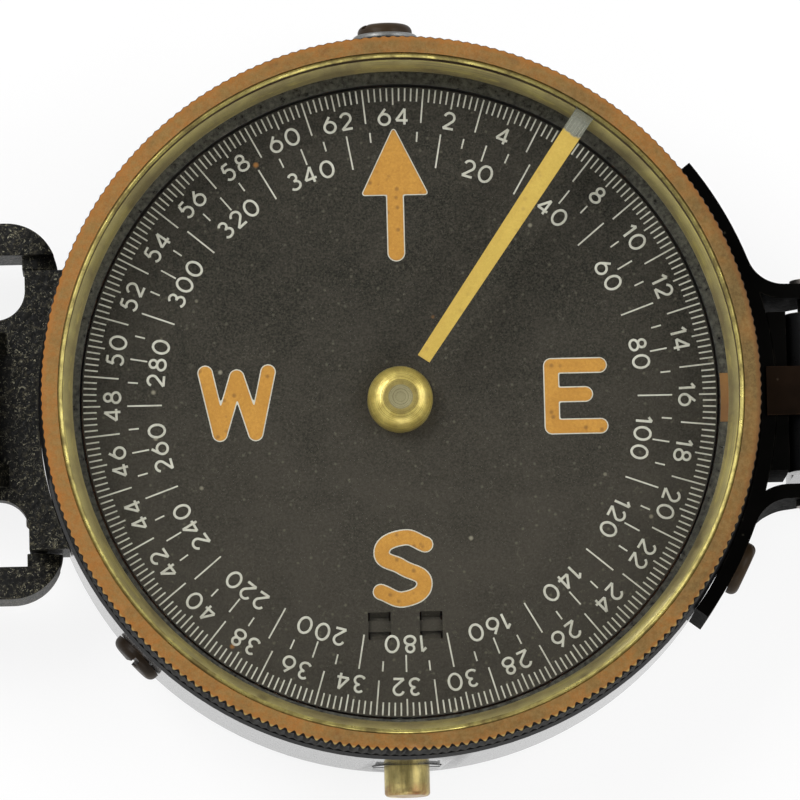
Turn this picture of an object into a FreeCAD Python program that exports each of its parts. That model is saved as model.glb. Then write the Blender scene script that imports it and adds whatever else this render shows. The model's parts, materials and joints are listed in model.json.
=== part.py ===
import FreeCAD, Part
import math
import os

# Marching compass, lid open flat. Millimetres, +Z up, the origin is the middle of the case's bottom.
# +X points to the lid and +Y is where the dial's north rests.

# Clearances that the pieces share
overrun = 1.0                # how far a cutting tool runs past what it cuts
running_gap = 0.1            # between faces that slide on each other
shaft_gap = 0.05             # radial, round a pin or a shaft that turns
seat_gap = 0.05              # between a curved face and the case that it is fixed to
hinge_side_gap = 0.15        # along a hinge pin, between its leaves

# Case
case_radius = 28.75
case_height = 13.2
case_floor = 1.4
case_bottom_chamfer = 0.7
case_rim_chamfer = 0.25
case_rim_wall = 1.0          # thin wall outside the bezel's channel
channel_width = 1.25
channel_depth = 4.2
ledge_width = 1.0            # inner ring round the dial
ledge_drop = 1.0             # from the case's rim down to the ring's top

# Rotating bezel and its window
bezel_inset = 0.25           # from the case's wall in to the bezel's edge
bezel_height = 4.4
bezel_gap = 0.15             # between the case's rim and the bezel
bezel_top_width = 1.35
bezel_chamfer = 0.08
knurl_teeth = 240
knurl_depth = 0.12
knurl_band_margin = 0.25     # plain band under the knurl
window_ledge = 1.15          # from the crystal's pocket in to the window's edge
window_bevel_depth = 0.85
window_lip = 0.3
crystal_seat_width = 0.4
gasket_thickness = 0.2
crystal_thickness = 1.0
crystal_side_gap = 0.05
retainer_height = 0.25
retainer_width = 0.4
sleeve_bottom_gap = 0.4      # under the sleeve that turns in the case's channel
click_teeth = 120
click_tooth_depth = 0.25
click_tooth_height = 1.6

# Spring ring that keeps the bezel on the case
snap_ring_drop = 1.1         # from the case's rim
snap_wire_radius = 0.25
snap_groove_depth = 0.3
snap_ring_turn = 330.0       # degrees

# Spring that clicks in the sleeve's teeth
click_spring_angle = 135.0   # degrees
click_spring_length = 8.0
click_spring_foot = 0.9
click_spring_crest = 1.2
click_spring_thickness = 0.15
click_spring_height = 1.0
click_pocket_depth = 0.6
click_pocket_length = 9.0

# Luminous line under the crystal, wider towards the rim
line_angle = 34.4            # degrees from north towards the lid
line_cap_gap = 0.65          # from the dial's cap, seen from above
line_start_width = 1.1
line_end_width = 1.6
line_depth = 0.2

# Copper bowl that damps the dial's swing
bowl_wall = 0.5
bowl_drop = 3.4              # from the dial down to its rim
bowl_gap = 0.1

# Index patch on the ledge, towards the lid
index_patch_width = 3.9
index_patch_reach = 0.85
index_patch_thickness = 0.1
index_patch_setback = 0.05
index_patch_angle = -0.75    # degrees off the middle of the lid

# Pivot
pivot_base_radius = 3.2
pivot_base_flange = 0.8
pivot_hub_radius = 2.2
pivot_hub_height = 1.3
pivot_spigot_radius = 1.9
pivot_spigot_depth = 0.9     # into the case's floor
pivot_shaft_radius = 1.25
pivot_collar_radius = 2.3
pivot_collar_height = 0.4
pivot_neck_radius = 0.5
pivot_tip_radius = 0.05
pivot_cone_drop = 0.9        # from the dial down to the cone's foot

# Dial
dial_side_gap = 0.2
dial_drop = 0.6              # from the ledge down to the card's underside
card_thickness = 0.3
cap_radius = 2.6
cap_rim_height = 1.2         # straight wall under the dome
cap_dome_height = 1.2
cap_flat_radius = 0.95
cap_shank_radius = 1.4
cap_shank_drop = 1.4         # below the card
cap_bore_radius = 0.75
jewel_gap = 0.02
jewel_height = 0.9
jewel_rise = 0.7             # its top above the card
jewel_cone_radius = 0.5
jewel_cone_depth = 0.5
pivot_tip_gap = 0.03
magnet_length = 31.0
magnet_width = 5.0
magnet_thickness = 0.85
magnet_point = 2.0           # how far each end tapers
magnet_end_width = 2.2
cap_washer_radius = 3.3
balance_setback = 2.5        # south of the magnet's end
balance_length = 7.0
balance_width = 0.9
balance_thickness = 0.3
balance_gap = 0.04
bridge_spacing = 4.1
bridge_width = 1.5
bridge_length = 2.2
bridge_strip = 0.22
bridge_slit = 0.15
bridge_root = 0.4

# Dial lifter, its spring and the push button that works it
lifter_drop = 4.6            # from the card down to its underside
lifter_thickness = 0.6
lifter_hub_radius = 4.2
lifter_collar_wall = 0.7
lifter_collar_gap = 0.2      # round the post's collar
lifter_rest_gap = 0.1        # under the dial's washer when the button is out
lifter_arm_width = 2.4
lifter_foot_width = 1.8
lifter_foot_start = 14.0
lifter_foot_length = 3.0
lifter_spring_radius = 1.75
lifter_spring_wire = 0.15
lifter_spring_length = 2.0
lifter_spring_turns = 3
wedge_angle = 15.0           # degrees
wedge_gap = 0.03
wedge_drop = 0.8             # lifter's underside down to the low end of its foot

plunger_drop = 1.0           # from the lifter's underside to the button's axis
plunger_travel = 1.4
button_radius = 1.82
button_stand = 2.35          # how far it stands out of the case
button_root = 1.55           # how far it goes in
button_rounding = 0.3
rod_radius = 0.9
rod_overreach = 0.5          # past the lifter's foot
clip_radius = 1.75
clip_thickness = 0.45
bush_radius = 2.4
bush_flange_radius = 2.7
bush_flange_thickness = 0.55
bush_end_wall = 0.6
bush_slot_width = 0.7
bush_slot_depth = 0.3
bush_face_seat = 0.55        # how deep the flat under the flange is cut in the case

# Round-head screws in the case's wall, the first on a spacer and a washer
screw_drop = 2.0             # from the bezel's channel down to their axes
screw_angles = (90.7, 222.5)
bracket_screw_setback = 3.1  # along the strap, past its bend
screw_head_radius = 2.2
screw_head_height = 0.85
screw_head_rounding = 0.6
screw_shank_radius = 0.9
screw_shank_length = 2.6
screw_slot_width = 0.55
screw_slot_depth = 0.4
screw_slot_turns = (35, 80)  # degrees from level
bracket_screw_slot_turn = 20
spacer_radius = 1.9          # between the case and the first screw's washer
spacer_length = 1.05
spacer_gap = 0.05            # round the screw's shank
screw_washer_radius = 2.6
screw_washer_thickness = 0.5
screw_washer_rounding = 0.2
screw_hole_gap = 0.1

# Strap that carries the lid's hinge
strap_bottom = 3.0
strap_thickness = 1.15
strap_angles = (38.2, 36.8)  # degrees, north arm and south arm
strap_half_width = 8.6       # outer face of each cheek
strap_bend_radius = 3.0
strap_taper = 3.5            # from the pin back to where the cheek is full height
strap_boss_meet = -50        # degrees, where the taper meets the boss round the pin
rivet_radius = 0.8
rivet_head_height = 0.3
rivet_proud = 0.03           # a flush rivet over the strap's face
rivet_depth = 1.6
strap_rivet_angle = 31.0
strap_rivet_rise = 2.2       # from the strap's bottom to the lower rivet
strap_rivet_drop = 2.15

# Lid hinge, block behind it and the leaf that holds the lid by friction
lid_pin_radius = 1.1
lid_pin_head_radius = 1.7
lid_pin_head_thickness = 0.5
knuckle_radius = 2.2
knuckle_side_room = 1.1      # from the knuckle to each cheek
knuckle_middle_half_width = 2.3
lid_arm_thickness = 3.4
block_side_room = 1.1        # from the block to each cheek
block_rise = 2.0             # from the strap's bottom to its own
block_thickness = 0.9
block_screw_radius = 0.8
block_screw_slot = 0.35      # width and depth of its slot
block_screw_rise = 1.3
block_screw_offset = 4.2
leaf_half_width = 1.95
leaf_thickness = 0.25
leaf_setback = 0.35          # from the strap's inner face
leaf_overhang = 0.3

# Lid
lid_overhang = 0.1           # past the bezel when it is shut
lid_height = 3.9
lid_wall = 1.2
lid_plate = 1.3
lid_edge_rounding = 0.9
lid_closed_gap = 0.2         # over the bezel when the lid is shut
lid_slot_length = 26.0
lid_slot_width = 4.0
lid_slot_border = 1.3
lid_border_height = 0.35
lid_notch_gap = 0.4          # round the eyepiece when both are folded in
wire_radius = 0.2
wire_screw_radius = 1.0
wire_screw_height = 0.55
wire_screw_depth = 0.8
wire_screw_setback = 2.6     # past the slot's end
dot_radius = 1.0
dot_thickness = 0.08
dot_setback = 3.9            # past the wire's screws
lid_rivet_offset = 4.3
lid_rivet_height = 2.6

# Bracket behind the case for the eyepiece and the thumb ring
rear_top_drop = 2.0          # from the case's rim
rear_height = 6.2
rear_thickness = 0.95        # where it is thinnest
rear_rivet_setback = 1.8     # sideways from the lugs
rear_rivet_rise = 1.2
rear_side_margin = 3.2       # from the rivets to its ends
tongue_thickness = 1.8
tongue_half_width = 7.2
tongue_length = 2.5          # past the bracket's outer face
tongue_rounding = 2.4        # where it widens into the bracket
eyepiece_pin_setback = 1.6   # past the tongue's end
eyepiece_pin_drop = 4.325    # from the bezel's top
eyepiece_pin_radius = 0.7
lug_radius = 1.5
lug_foot = 1.0               # along the tongue
lug_inner_half_width = 4.4
lug_outer_half_width = 6.2

# Eyepiece, folded out flat
eyepiece_barrel_radius = 1.4
eyepiece_plate = 1.5
eyepiece_fold_gap = 0.3      # over the bezel when it is folded in
eyepiece_half_width = 6.2
shoulder_setback = 1.9       # from the pin to where the plate is full width
lens_setback = 6.9
lens_hole_radius = 4.2
lens_radius = 4.85
lens_edge = 0.5
lens_bulge = 0.25
lens_gap = 0.05
lens_ring_thickness = 0.3
sight_notch_width = 1.0
sight_notch_depth = 1.1

# Thumb ring, folded out flat
ring_height = 5.5
ring_knuckle_radius = 1.9    # round its hinge pins, towards the case
ring_knuckle_back = 1.0      # from the hinge out to the knuckle's flat back
ring_wall = 2.6
ring_side_room = 1.3         # inside it, each side of the bracket
ring_end_room = 2.8          # inside it, past the eyepiece's tip
ring_near_rounding = 4.1
ring_far_rounding = 7.0
ring_hinge_depth = 0.8       # from the bracket's outer face
ring_pin_radius = 0.55
ring_pin_seat = 3.0          # length in the bracket
ring_pin_stand = 0.4         # length past the ring's inner side
ring_side_gap = 0.2


# Values that follow from the sizes above
channel_outer_radius = case_radius - case_rim_wall
channel_inner_radius = channel_outer_radius - channel_width
chamber_radius = channel_inner_radius - ledge_width
channel_bottom = case_height - channel_depth
ledge_height = case_height - ledge_drop
bezel_radius = case_radius - bezel_inset
bezel_bottom = case_height + bezel_gap
bezel_top = bezel_bottom + bezel_height
pocket_radius = bezel_radius - bezel_top_width
window_radius = pocket_radius - window_ledge
retainer_bottom = bezel_top - retainer_height
crystal_bottom = retainer_bottom - crystal_thickness
crystal_seat = crystal_bottom - gasket_thickness
bevel_bottom = crystal_seat - window_bevel_depth
sleeve_outer_radius = channel_outer_radius - running_gap
sleeve_inner_radius = channel_inner_radius + running_gap
sleeve_end = channel_bottom + sleeve_bottom_gap
snap_ring_height = case_height - snap_ring_drop
line_start = cap_radius + line_cap_gap
line_end = pocket_radius - retainer_width
dial_radius = chamber_radius - dial_side_gap
dial_height = ledge_height - dial_drop
card_top = dial_height + card_thickness
bowl_height = dial_height - bowl_drop
magnet_bottom = dial_height - magnet_thickness
balance_offset = magnet_length / 2 + balance_setback
cap_shank_bottom = dial_height - cap_shank_drop
washer_bottom = cap_shank_bottom + running_gap
jewel_top = card_top + jewel_rise
pivot_tip_height = jewel_top - jewel_height + jewel_cone_depth - pivot_tip_gap
pivot_neck_top = dial_height - pivot_cone_drop
pivot_hub_top = case_floor + bowl_wall + pivot_base_flange + pivot_hub_height
pivot_spigot_bottom = case_floor - pivot_spigot_depth
lifter_bottom = dial_height - lifter_drop
lifter_top = lifter_bottom + lifter_thickness
lifter_foot_end = lifter_foot_start + lifter_foot_length
pivot_collar_bottom = lifter_top + lifter_spring_length
pivot_collar_top = pivot_collar_bottom + pivot_collar_height
plunger_height = lifter_bottom - plunger_drop
button_end = case_radius + button_stand
button_inner_end = case_radius - button_root
rod_inner_end = lifter_foot_start - rod_overreach
flange_seat = case_radius - bush_face_seat
bush_inner_end = button_inner_end - plunger_travel - running_gap - bush_end_wall
strap_inner_radius = case_radius + seat_gap
strap_outer_radius = strap_inner_radius + strap_thickness
cheek_inner = strap_half_width - strap_thickness
knuckle_half_width = cheek_inner - knuckle_side_room
block_half_width = cheek_inner - block_side_room
strap_bend_turn = math.degrees(math.asin((strap_half_width + strap_bend_radius)
                                         / (strap_outer_radius + strap_bend_radius)))
screw_height = channel_bottom - screw_drop
washer_seat = case_radius + spacer_length
screw_seats = (washer_seat + screw_washer_thickness, case_radius, strap_outer_radius)
bracket_screw_angle = -strap_bend_turn - math.degrees(bracket_screw_setback / strap_outer_radius)
lid_closed_bottom = bezel_top + lid_closed_gap
lid_pin_height = (lid_closed_bottom + lid_height) / 2
lid_pin_reach = strap_outer_radius + block_thickness + seat_gap + knuckle_radius
lid_radius = bezel_radius + lid_overhang
lid_centre = lid_pin_reach + lid_pin_reach
strap_top = lid_pin_height + knuckle_radius + shaft_gap
strap_rivet_heights = (strap_bottom + strap_rivet_rise, strap_top - strap_rivet_drop)
block_bottom = strap_bottom + block_rise
block_screw_height = block_bottom + block_screw_rise
leaf_start = strap_inner_radius + leaf_setback
wire_screw_reach = lid_slot_length / 2 + wire_screw_setback
wire_reach = wire_screw_reach - wire_screw_radius / 2 - seat_gap
dot_reach = wire_screw_reach + dot_setback
rear_top = case_height - rear_top_drop
rear_bottom = rear_top - rear_height
rear_reach = case_radius + rear_thickness
rear_rivet_offset = lug_outer_half_width + rear_rivet_setback
rear_rivet_height = rear_bottom + rear_rivet_rise
rear_half_width = rear_rivet_offset + rear_side_margin
tongue_bottom = rear_top - tongue_thickness
tongue_reach = rear_reach + tongue_length
eyepiece_pin_reach = tongue_reach + eyepiece_pin_setback
eyepiece_pin_height = bezel_top - eyepiece_pin_drop
eyepiece_top = 2 * eyepiece_pin_height - bezel_top - eyepiece_fold_gap
eyepiece_bottom = eyepiece_top - eyepiece_plate
eyepiece_shoulder = eyepiece_pin_reach + shoulder_setback
lens_reach = eyepiece_shoulder + lens_setback
eyepiece_tip = lens_reach + eyepiece_half_width
eyepiece_side = lug_inner_half_width - hinge_side_gap
lid_notch_half_width = eyepiece_half_width + lid_notch_gap
lid_notch_depth = eyepiece_plate + eyepiece_fold_gap - lid_closed_gap + lid_notch_gap
ring_hinge_reach = rear_reach - ring_hinge_depth
ring_hinge_height = (rear_bottom + rear_top) / 2
ring_near_reach = ring_hinge_reach - ring_knuckle_radius + shaft_gap
ring_bottom = ring_hinge_height - ring_height / 2
ring_top = ring_bottom + ring_height
ring_far_reach = eyepiece_tip + ring_end_room + ring_wall
ring_inner_half_width = rear_half_width + ring_side_room
ring_half_width = ring_inner_half_width + ring_wall
ring_pin_inner = rear_half_width - ring_pin_seat
ring_pin_outer = ring_inner_half_width + ring_pin_stand
wide = bezel_radius          # from the middle sideways, past every piece that a cross bar cuts


def point(x, y, z):
    return FreeCAD.Vector(x, y, z)


origin = point(0, 0, 0)
up = point(0, 0, 1)
along_x = point(1, 0, 0)
along_y = point(0, 1, 0)


def turned(outline):
    """Ring or disc from a closed outline of (radius, height) pairs."""
    corners = [point(radius, 0, height) for radius, height in outline]
    return Part.Face(Part.makePolygon(corners + corners[:1])).revolve(origin, up, 360)


def upright(outline, half_width):
    """Plate from a closed outline of (x, z) pairs, as thick as two half widths along Y."""
    corners = [point(x, -half_width, z) for x, z in outline]
    face = Part.Face(Part.makePolygon(corners + corners[:1]))
    return face.extrude(point(0, 2 * half_width, 0))


def flat(outline, bottom, top):
    """Plate from a closed outline of (x, y) pairs."""
    corners = [point(x, y, bottom) for x, y in outline]
    face = Part.Face(Part.makePolygon(corners + corners[:1]))
    return face.extrude(point(0, 0, top - bottom))


def block(low, high):
    size = [b - a for a, b in zip(low, high)]
    return Part.makeBox(size[0], size[1], size[2], point(*low))


def disc(radius, bottom, top, x=0, y=0):
    return Part.makeCylinder(radius, top - bottom, point(x, y, bottom), up)


def tube(outer, inner, bottom, top):
    return turned([(inner, bottom), (outer, bottom), (outer, top), (inner, top)])


def cross_pin(radius, x, z, start, end):
    """Round bar along Y."""
    return Part.makeCylinder(radius, end - start, point(x, start, z), along_y)


def radial_bar(radius, start, end, height):
    """Round bar along X, out from the case's middle."""
    return Part.makeCylinder(radius, end - start, point(start, 0, height), along_x)


def round_z(shape, angle):
    turned_shape = shape.copy()
    turned_shape.rotate(origin, up, angle)
    return turned_shape


def mirrored_y(shape):
    return shape.mirror(origin, along_y)


def rounded_plate(x_low, x_high, half_width, rounding, bottom, top):
    """Plate with its four upright edges rounded."""
    plate = block((x_low, -half_width, bottom), (x_high, half_width, top))
    corners = [edge for edge in plate.Edges if abs(edge.tangentAt(0).z) == 1]
    return plate.makeFillet(rounding, corners)


def toothed(outer, inner, teeth, bottom, top):
    """Solid disc whose edge is a ring of sharp teeth."""
    corners = []
    for step in range(2 * teeth):
        radius = outer if step % 2 == 0 else inner
        angle = math.pi * step / teeth
        corners.append((radius * math.cos(angle), radius * math.sin(angle)))
    return flat(corners, bottom, top)


def save(name, shape):
    shape.exportStep("parts/" + name + ".step")
    print(name, round(shape.Volume, 3), len(shape.Solids), shape.isValid())


# Case and what is fixed in it

def case_body():
    wall = turned([
        (0, 0), (case_radius - case_bottom_chamfer, 0), (case_radius, case_bottom_chamfer),
        (case_radius, case_height - case_rim_chamfer), (case_radius - case_rim_chamfer, case_height),
        (channel_outer_radius, case_height), (channel_outer_radius, channel_bottom),
        (channel_inner_radius, channel_bottom), (channel_inner_radius, ledge_height),
        (chamber_radius, ledge_height), (chamber_radius, case_floor), (0, case_floor)])
    groove = tube(channel_outer_radius + snap_groove_depth, channel_outer_radius - overrun,
                  snap_ring_height - snap_wire_radius - shaft_gap,
                  snap_ring_height + snap_wire_radius + shaft_gap)
    wall = wall.cut(groove)
    side = click_pocket_length / 2
    pocket = block((channel_inner_radius - click_pocket_depth, -side, channel_bottom),
                   (channel_inner_radius + overrun, side, channel_bottom + click_tooth_height))
    room = tube(channel_inner_radius + shaft_gap, chamber_radius, channel_bottom, ledge_height)
    wall = wall.cut(round_z(pocket.common(room), click_spring_angle))
    wall = wall.cut(disc(pivot_spigot_radius, pivot_spigot_bottom, case_floor + overrun))
    wall = wall.cut(plunger_bar(bush_radius, flange_seat + overrun, chamber_radius - overrun))
    wall = wall.cut(plunger_bar(bush_flange_radius + running_gap, case_radius + overrun, flange_seat))
    for angle in screw_angles + (bracket_screw_angle,):
        hole = radial_bar(screw_shank_radius, case_radius - screw_shank_length, case_radius + overrun,
                          screw_height)
        wall = wall.cut(round_z(hole, angle))
    for rivet in strap_rivet_holes() + rear_rivet_holes():
        wall = wall.cut(rivet)
    return wall


def damping_bowl():
    outer = chamber_radius - bowl_gap
    bowl = turned([(pivot_spigot_radius, case_floor), (outer, case_floor), (outer, bowl_height),
                   (outer - bowl_wall, bowl_height), (outer - bowl_wall, case_floor + bowl_wall),
                   (pivot_spigot_radius, case_floor + bowl_wall)])
    return bowl.cut(plunger_bar(bush_radius + bowl_gap, case_radius, chamber_radius - bush_radius))


def index_patch():
    low = chamber_radius + index_patch_setback
    patch = tube(low + index_patch_reach, low, ledge_height, ledge_height + index_patch_thickness)
    side = index_patch_width / 2
    patch = patch.common(block((0, -side, 0), (case_radius, side, case_height)))
    return round_z(patch, index_patch_angle)


def pivot_base():
    floor = case_floor + bowl_wall
    return turned([
        (0, pivot_spigot_bottom), (pivot_spigot_radius, pivot_spigot_bottom), (pivot_spigot_radius, floor),
        (pivot_base_radius, floor), (pivot_base_radius, floor + pivot_base_flange),
        (pivot_hub_radius, floor + pivot_base_flange), (pivot_hub_radius, pivot_hub_top),
        (pivot_shaft_radius, pivot_hub_top), (pivot_shaft_radius, case_floor), (0, case_floor)])


def pivot_post():
    return turned([
        (0, case_floor), (pivot_shaft_radius, case_floor), (pivot_shaft_radius, pivot_collar_bottom),
        (pivot_collar_radius, pivot_collar_bottom), (pivot_collar_radius, pivot_collar_top),
        (pivot_neck_radius, pivot_collar_top), (pivot_neck_radius, pivot_neck_top),
        (pivot_tip_radius, pivot_tip_height), (0, pivot_tip_height)])


def bezel_snap_ring():
    section = Part.makeCircle(snap_wire_radius, point(channel_outer_radius, 0, snap_ring_height), along_y)
    return Part.Face(Part.Wire(section)).revolve(origin, up, snap_ring_turn)


def bezel_click_spring():
    """Bowed leaf that lies in the case's pocket with its crest at the sleeve's teeth."""
    back = channel_inner_radius - click_pocket_depth
    crest = sleeve_inner_radius - shaft_gap
    half = click_spring_length / 2
    foot = half - click_spring_foot
    top = click_spring_crest / 2
    outer = [(back + click_spring_thickness, -half), (back + click_spring_thickness, -foot), (crest, -top),
             (crest, top), (back + click_spring_thickness, foot), (back + click_spring_thickness, half)]
    inner = [(x - click_spring_thickness, y) for x, y in reversed(outer)]
    middle = channel_bottom + click_tooth_height / 2
    leaf = flat(outer + inner, middle - click_spring_height / 2, middle + click_spring_height / 2)
    return round_z(leaf, click_spring_angle)


# Bezel

def bezel_ring():
    body = turned([
        (pocket_radius, crystal_seat), (pocket_radius, bezel_top), (bezel_radius - bezel_chamfer, bezel_top),
        (bezel_radius, bezel_top - bezel_chamfer), (bezel_radius, bezel_bottom),
        (sleeve_outer_radius, bezel_bottom), (sleeve_outer_radius, sleeve_end),
        (sleeve_inner_radius, sleeve_end), (sleeve_inner_radius, bezel_bottom),
        (window_radius, bevel_bottom - window_lip), (window_radius, bevel_bottom),
        (pocket_radius - crystal_seat_width, crystal_seat)])
    groove = tube(sleeve_outer_radius + overrun, sleeve_outer_radius - snap_groove_depth,
                  snap_ring_height - snap_wire_radius - running_gap,
                  snap_ring_height + snap_wire_radius + running_gap)
    body = body.cut(groove)
    knurl = toothed(bezel_radius, bezel_radius - knurl_depth, knurl_teeth,
                    bezel_bottom + knurl_band_margin, bezel_top + overrun)
    plain = disc(bezel_radius - knurl_depth, sleeve_end - overrun, bezel_bottom + knurl_band_margin)
    body = body.common(knurl.fuse(plain))
    clicks = toothed(sleeve_inner_radius + click_tooth_depth, sleeve_inner_radius, click_teeth,
                     sleeve_end - overrun, channel_bottom + click_tooth_height)
    return body.cut(clicks)


def crystal_gasket():
    return tube(pocket_radius - crystal_side_gap, pocket_radius - crystal_seat_width,
                crystal_seat, crystal_bottom)


def line_outline(start, end):
    """Corners of the luminous line between two radii, pointing along X."""
    spread = (line_end_width - line_start_width) / (line_end - line_start)
    near = (line_start_width + spread * (start - line_start)) / 2
    far = (line_start_width + spread * (end - line_start)) / 2
    return [(start, -near), (end, -far), (end, far), (start, near)]


def crystal():
    radius = pocket_radius - crystal_side_gap
    glass = disc(radius, crystal_bottom, retainer_bottom)
    groove = flat(line_outline(line_start, bezel_radius), crystal_bottom - overrun,
                  crystal_bottom + line_depth)
    return glass.cut(round_z(groove, 90 - line_angle))


def luminous_line():
    strip = flat(line_outline(line_start, line_end), crystal_bottom, crystal_bottom + line_depth)
    return round_z(strip, 90 - line_angle)


def crystal_retainer():
    outer = pocket_radius
    inner = pocket_radius - retainer_width
    middle = (outer + inner) / 2
    return turned([(outer, retainer_bottom), (outer, bezel_top - retainer_height / 2), (middle, bezel_top),
                   (inner, bezel_top - retainer_height / 2), (inner, retainer_bottom)])


# Dial

def bridge_places():
    return [(side * bridge_spacing / 2, -balance_offset) for side in (-1, 1)]


def dial_card():
    card = disc(dial_radius, dial_height, card_top).cut(disc(cap_shank_radius, dial_height, card_top))
    under = dial_height - balance_thickness - 2 * balance_gap
    for x, y in bridge_places():
        half = bridge_width / 2
        reach = bridge_length / 2
        window = block((x - half - bridge_slit, y - reach, dial_height - overrun),
                       (x + half + bridge_slit, y + reach, card_top + overrun))
        card = card.cut(window)
        inner = reach - bridge_root
        strip = [(-reach - bridge_root, card_top), (-reach, card_top), (-inner, under), (inner, under),
                 (reach, card_top), (reach + bridge_root, card_top), (reach + bridge_root, dial_height),
                 (reach + bridge_strip, dial_height), (inner + bridge_strip, under - bridge_strip),
                 (-inner - bridge_strip, under - bridge_strip), (-reach - bridge_strip, dial_height),
                 (-reach - bridge_root, dial_height)]
        corners = [point(x - half, y + a, z) for a, z in strip]
        face = Part.Face(Part.makePolygon(corners + corners[:1]))
        card = card.fuse(face.extrude(point(bridge_width, 0, 0)))
    return card


def balance_weight():
    top = dial_height - balance_gap
    return block((-balance_length / 2, -balance_offset - balance_width / 2, top - balance_thickness),
                 (balance_length / 2, -balance_offset + balance_width / 2, top))


def magnet_bar():
    tip = magnet_length / 2
    side = magnet_width / 2
    end = magnet_end_width / 2
    half = [(-side, tip - magnet_point), (-end, tip), (end, tip), (side, tip - magnet_point)]
    outline = half + [(-x, -y) for x, y in half]
    bar = flat(outline, magnet_bottom, dial_height)
    return bar.cut(disc(cap_shank_radius, magnet_bottom - overrun, dial_height + overrun))


def dial_cap():
    rim = (cap_radius, card_top + cap_rim_height)
    flat_top = rim[1] + cap_dome_height
    shoulder_share = 0.72
    shoulder = (cap_flat_radius + (cap_radius - cap_flat_radius) * shoulder_share,
                rim[1] + cap_dome_height * shoulder_share)
    dome = Part.Arc(point(rim[0], 0, rim[1]), point(shoulder[0], 0, shoulder[1]),
                    point(cap_flat_radius, 0, flat_top)).toShape()
    path = [point(cap_flat_radius, 0, flat_top), point(0, 0, flat_top), point(0, 0, jewel_top),
            point(cap_bore_radius, 0, jewel_top), point(cap_bore_radius, 0, cap_shank_bottom),
            point(cap_shank_radius, 0, cap_shank_bottom), point(cap_shank_radius, 0, card_top),
            point(cap_radius, 0, card_top), point(rim[0], 0, rim[1])]
    section = Part.Face(Part.Wire([dome] + Part.makePolygon(path).Edges))
    return section.revolve(origin, up, 360)


def jewel_bearing():
    radius = cap_bore_radius - jewel_gap
    bottom = jewel_top - jewel_height
    return turned([(jewel_cone_radius, bottom), (radius, bottom), (radius, jewel_top), (0, jewel_top),
                   (0, bottom + jewel_cone_depth)])


def cap_washer():
    return tube(cap_washer_radius, cap_shank_radius, washer_bottom, magnet_bottom)


# Lifter and push button

def foot_outline():
    """Side view of the lifter's foot as (y, z) pairs, y towards north."""
    low = lifter_bottom - wedge_drop
    rise = math.tan(math.radians(wedge_angle)) * (lifter_foot_end - lifter_foot_start)
    return [(-lifter_foot_start, lifter_top), (-lifter_foot_start, low), (-lifter_foot_end, low + rise),
            (-lifter_foot_end, lifter_top)]


def lifter():
    """Plate with a collar that lifts the dial by its washer, and an arm to the push button's wedge."""
    inner = pivot_collar_radius + lifter_collar_gap
    collar = tube(inner + lifter_collar_wall, inner, lifter_bottom, washer_bottom - lifter_rest_gap)
    plate = disc(lifter_hub_radius, lifter_bottom, lifter_top).fuse(collar)
    half = lifter_arm_width / 2
    plate = plate.fuse(block((-half, -lifter_foot_start, lifter_bottom), (half, -inner, lifter_top)))
    side = lifter_foot_width / 2
    corners = [point(-side, y, z) for y, z in foot_outline()]
    foot = Part.Face(Part.makePolygon(corners + corners[:1])).extrude(point(lifter_foot_width, 0, 0))
    bore = disc(pivot_shaft_radius + shaft_gap, lifter_bottom - overrun, lifter_top + overrun)
    return plate.fuse(foot).cut(bore)


def coil_path(radius, bottom, climb, turns):
    """Wire of arcs that winds up round the Z axis, two arcs that meet smoothly for each quarter turn."""
    steps = 4 * turns
    turn = 2 * math.pi * turns / steps
    slope = climb / (2 * math.pi * turns)

    def place(step):
        angle = step * turn
        return point(radius * math.cos(angle), radius * math.sin(angle), bottom + slope * angle)

    def heading(step):
        angle = step * turn
        return point(-radius * math.sin(angle), radius * math.cos(angle), slope).normalize()

    def arc(start, corner, end):
        share = start.distanceToPoint(end) / (2 * start.distanceToPoint(corner))
        middle = (start + end + corner * (2 * share)) * (1 / (2 + 2 * share))
        return Part.Arc(start, middle, end).toShape()

    edges = []
    for step in range(steps):
        start, end = place(step), place(step + 1)
        leave, meet = heading(step), heading(step + 1)
        across, spread = end - start, 2 * (1 - leave.dot(meet))
        along = across.dot(leave + meet)
        length = (math.sqrt(along ** 2 + spread * across.dot(across)) - along) / spread
        first, last = start + leave * length, end - meet * length
        joint = (first + last) * (1 / 2)
        edges += [arc(start, first, joint), arc(joint, last, end)]
    return Part.Wire(edges)


def lifter_spring():
    """Coil round the pivot's post, from the lifter up to the post's collar."""
    start = point(lifter_spring_radius, 0, lifter_top + lifter_spring_wire)
    climb = lifter_spring_length - 2 * lifter_spring_wire
    path = coil_path(lifter_spring_radius, start.z, climb, lifter_spring_turns)
    print("lifter spring's least gap between turns", climb / lifter_spring_turns - 2 * lifter_spring_wire)
    section = Part.Wire(Part.makeCircle(lifter_spring_wire, start, along_y))
    return path.makePipeShell([section], True, False)


def plunger_bar(radius, outer, inner):
    """Round bar on the push button's axis, between two distances south of the case's middle."""
    return Part.makeCylinder(radius, outer - inner, point(0, -outer, plunger_height), along_y)


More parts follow.
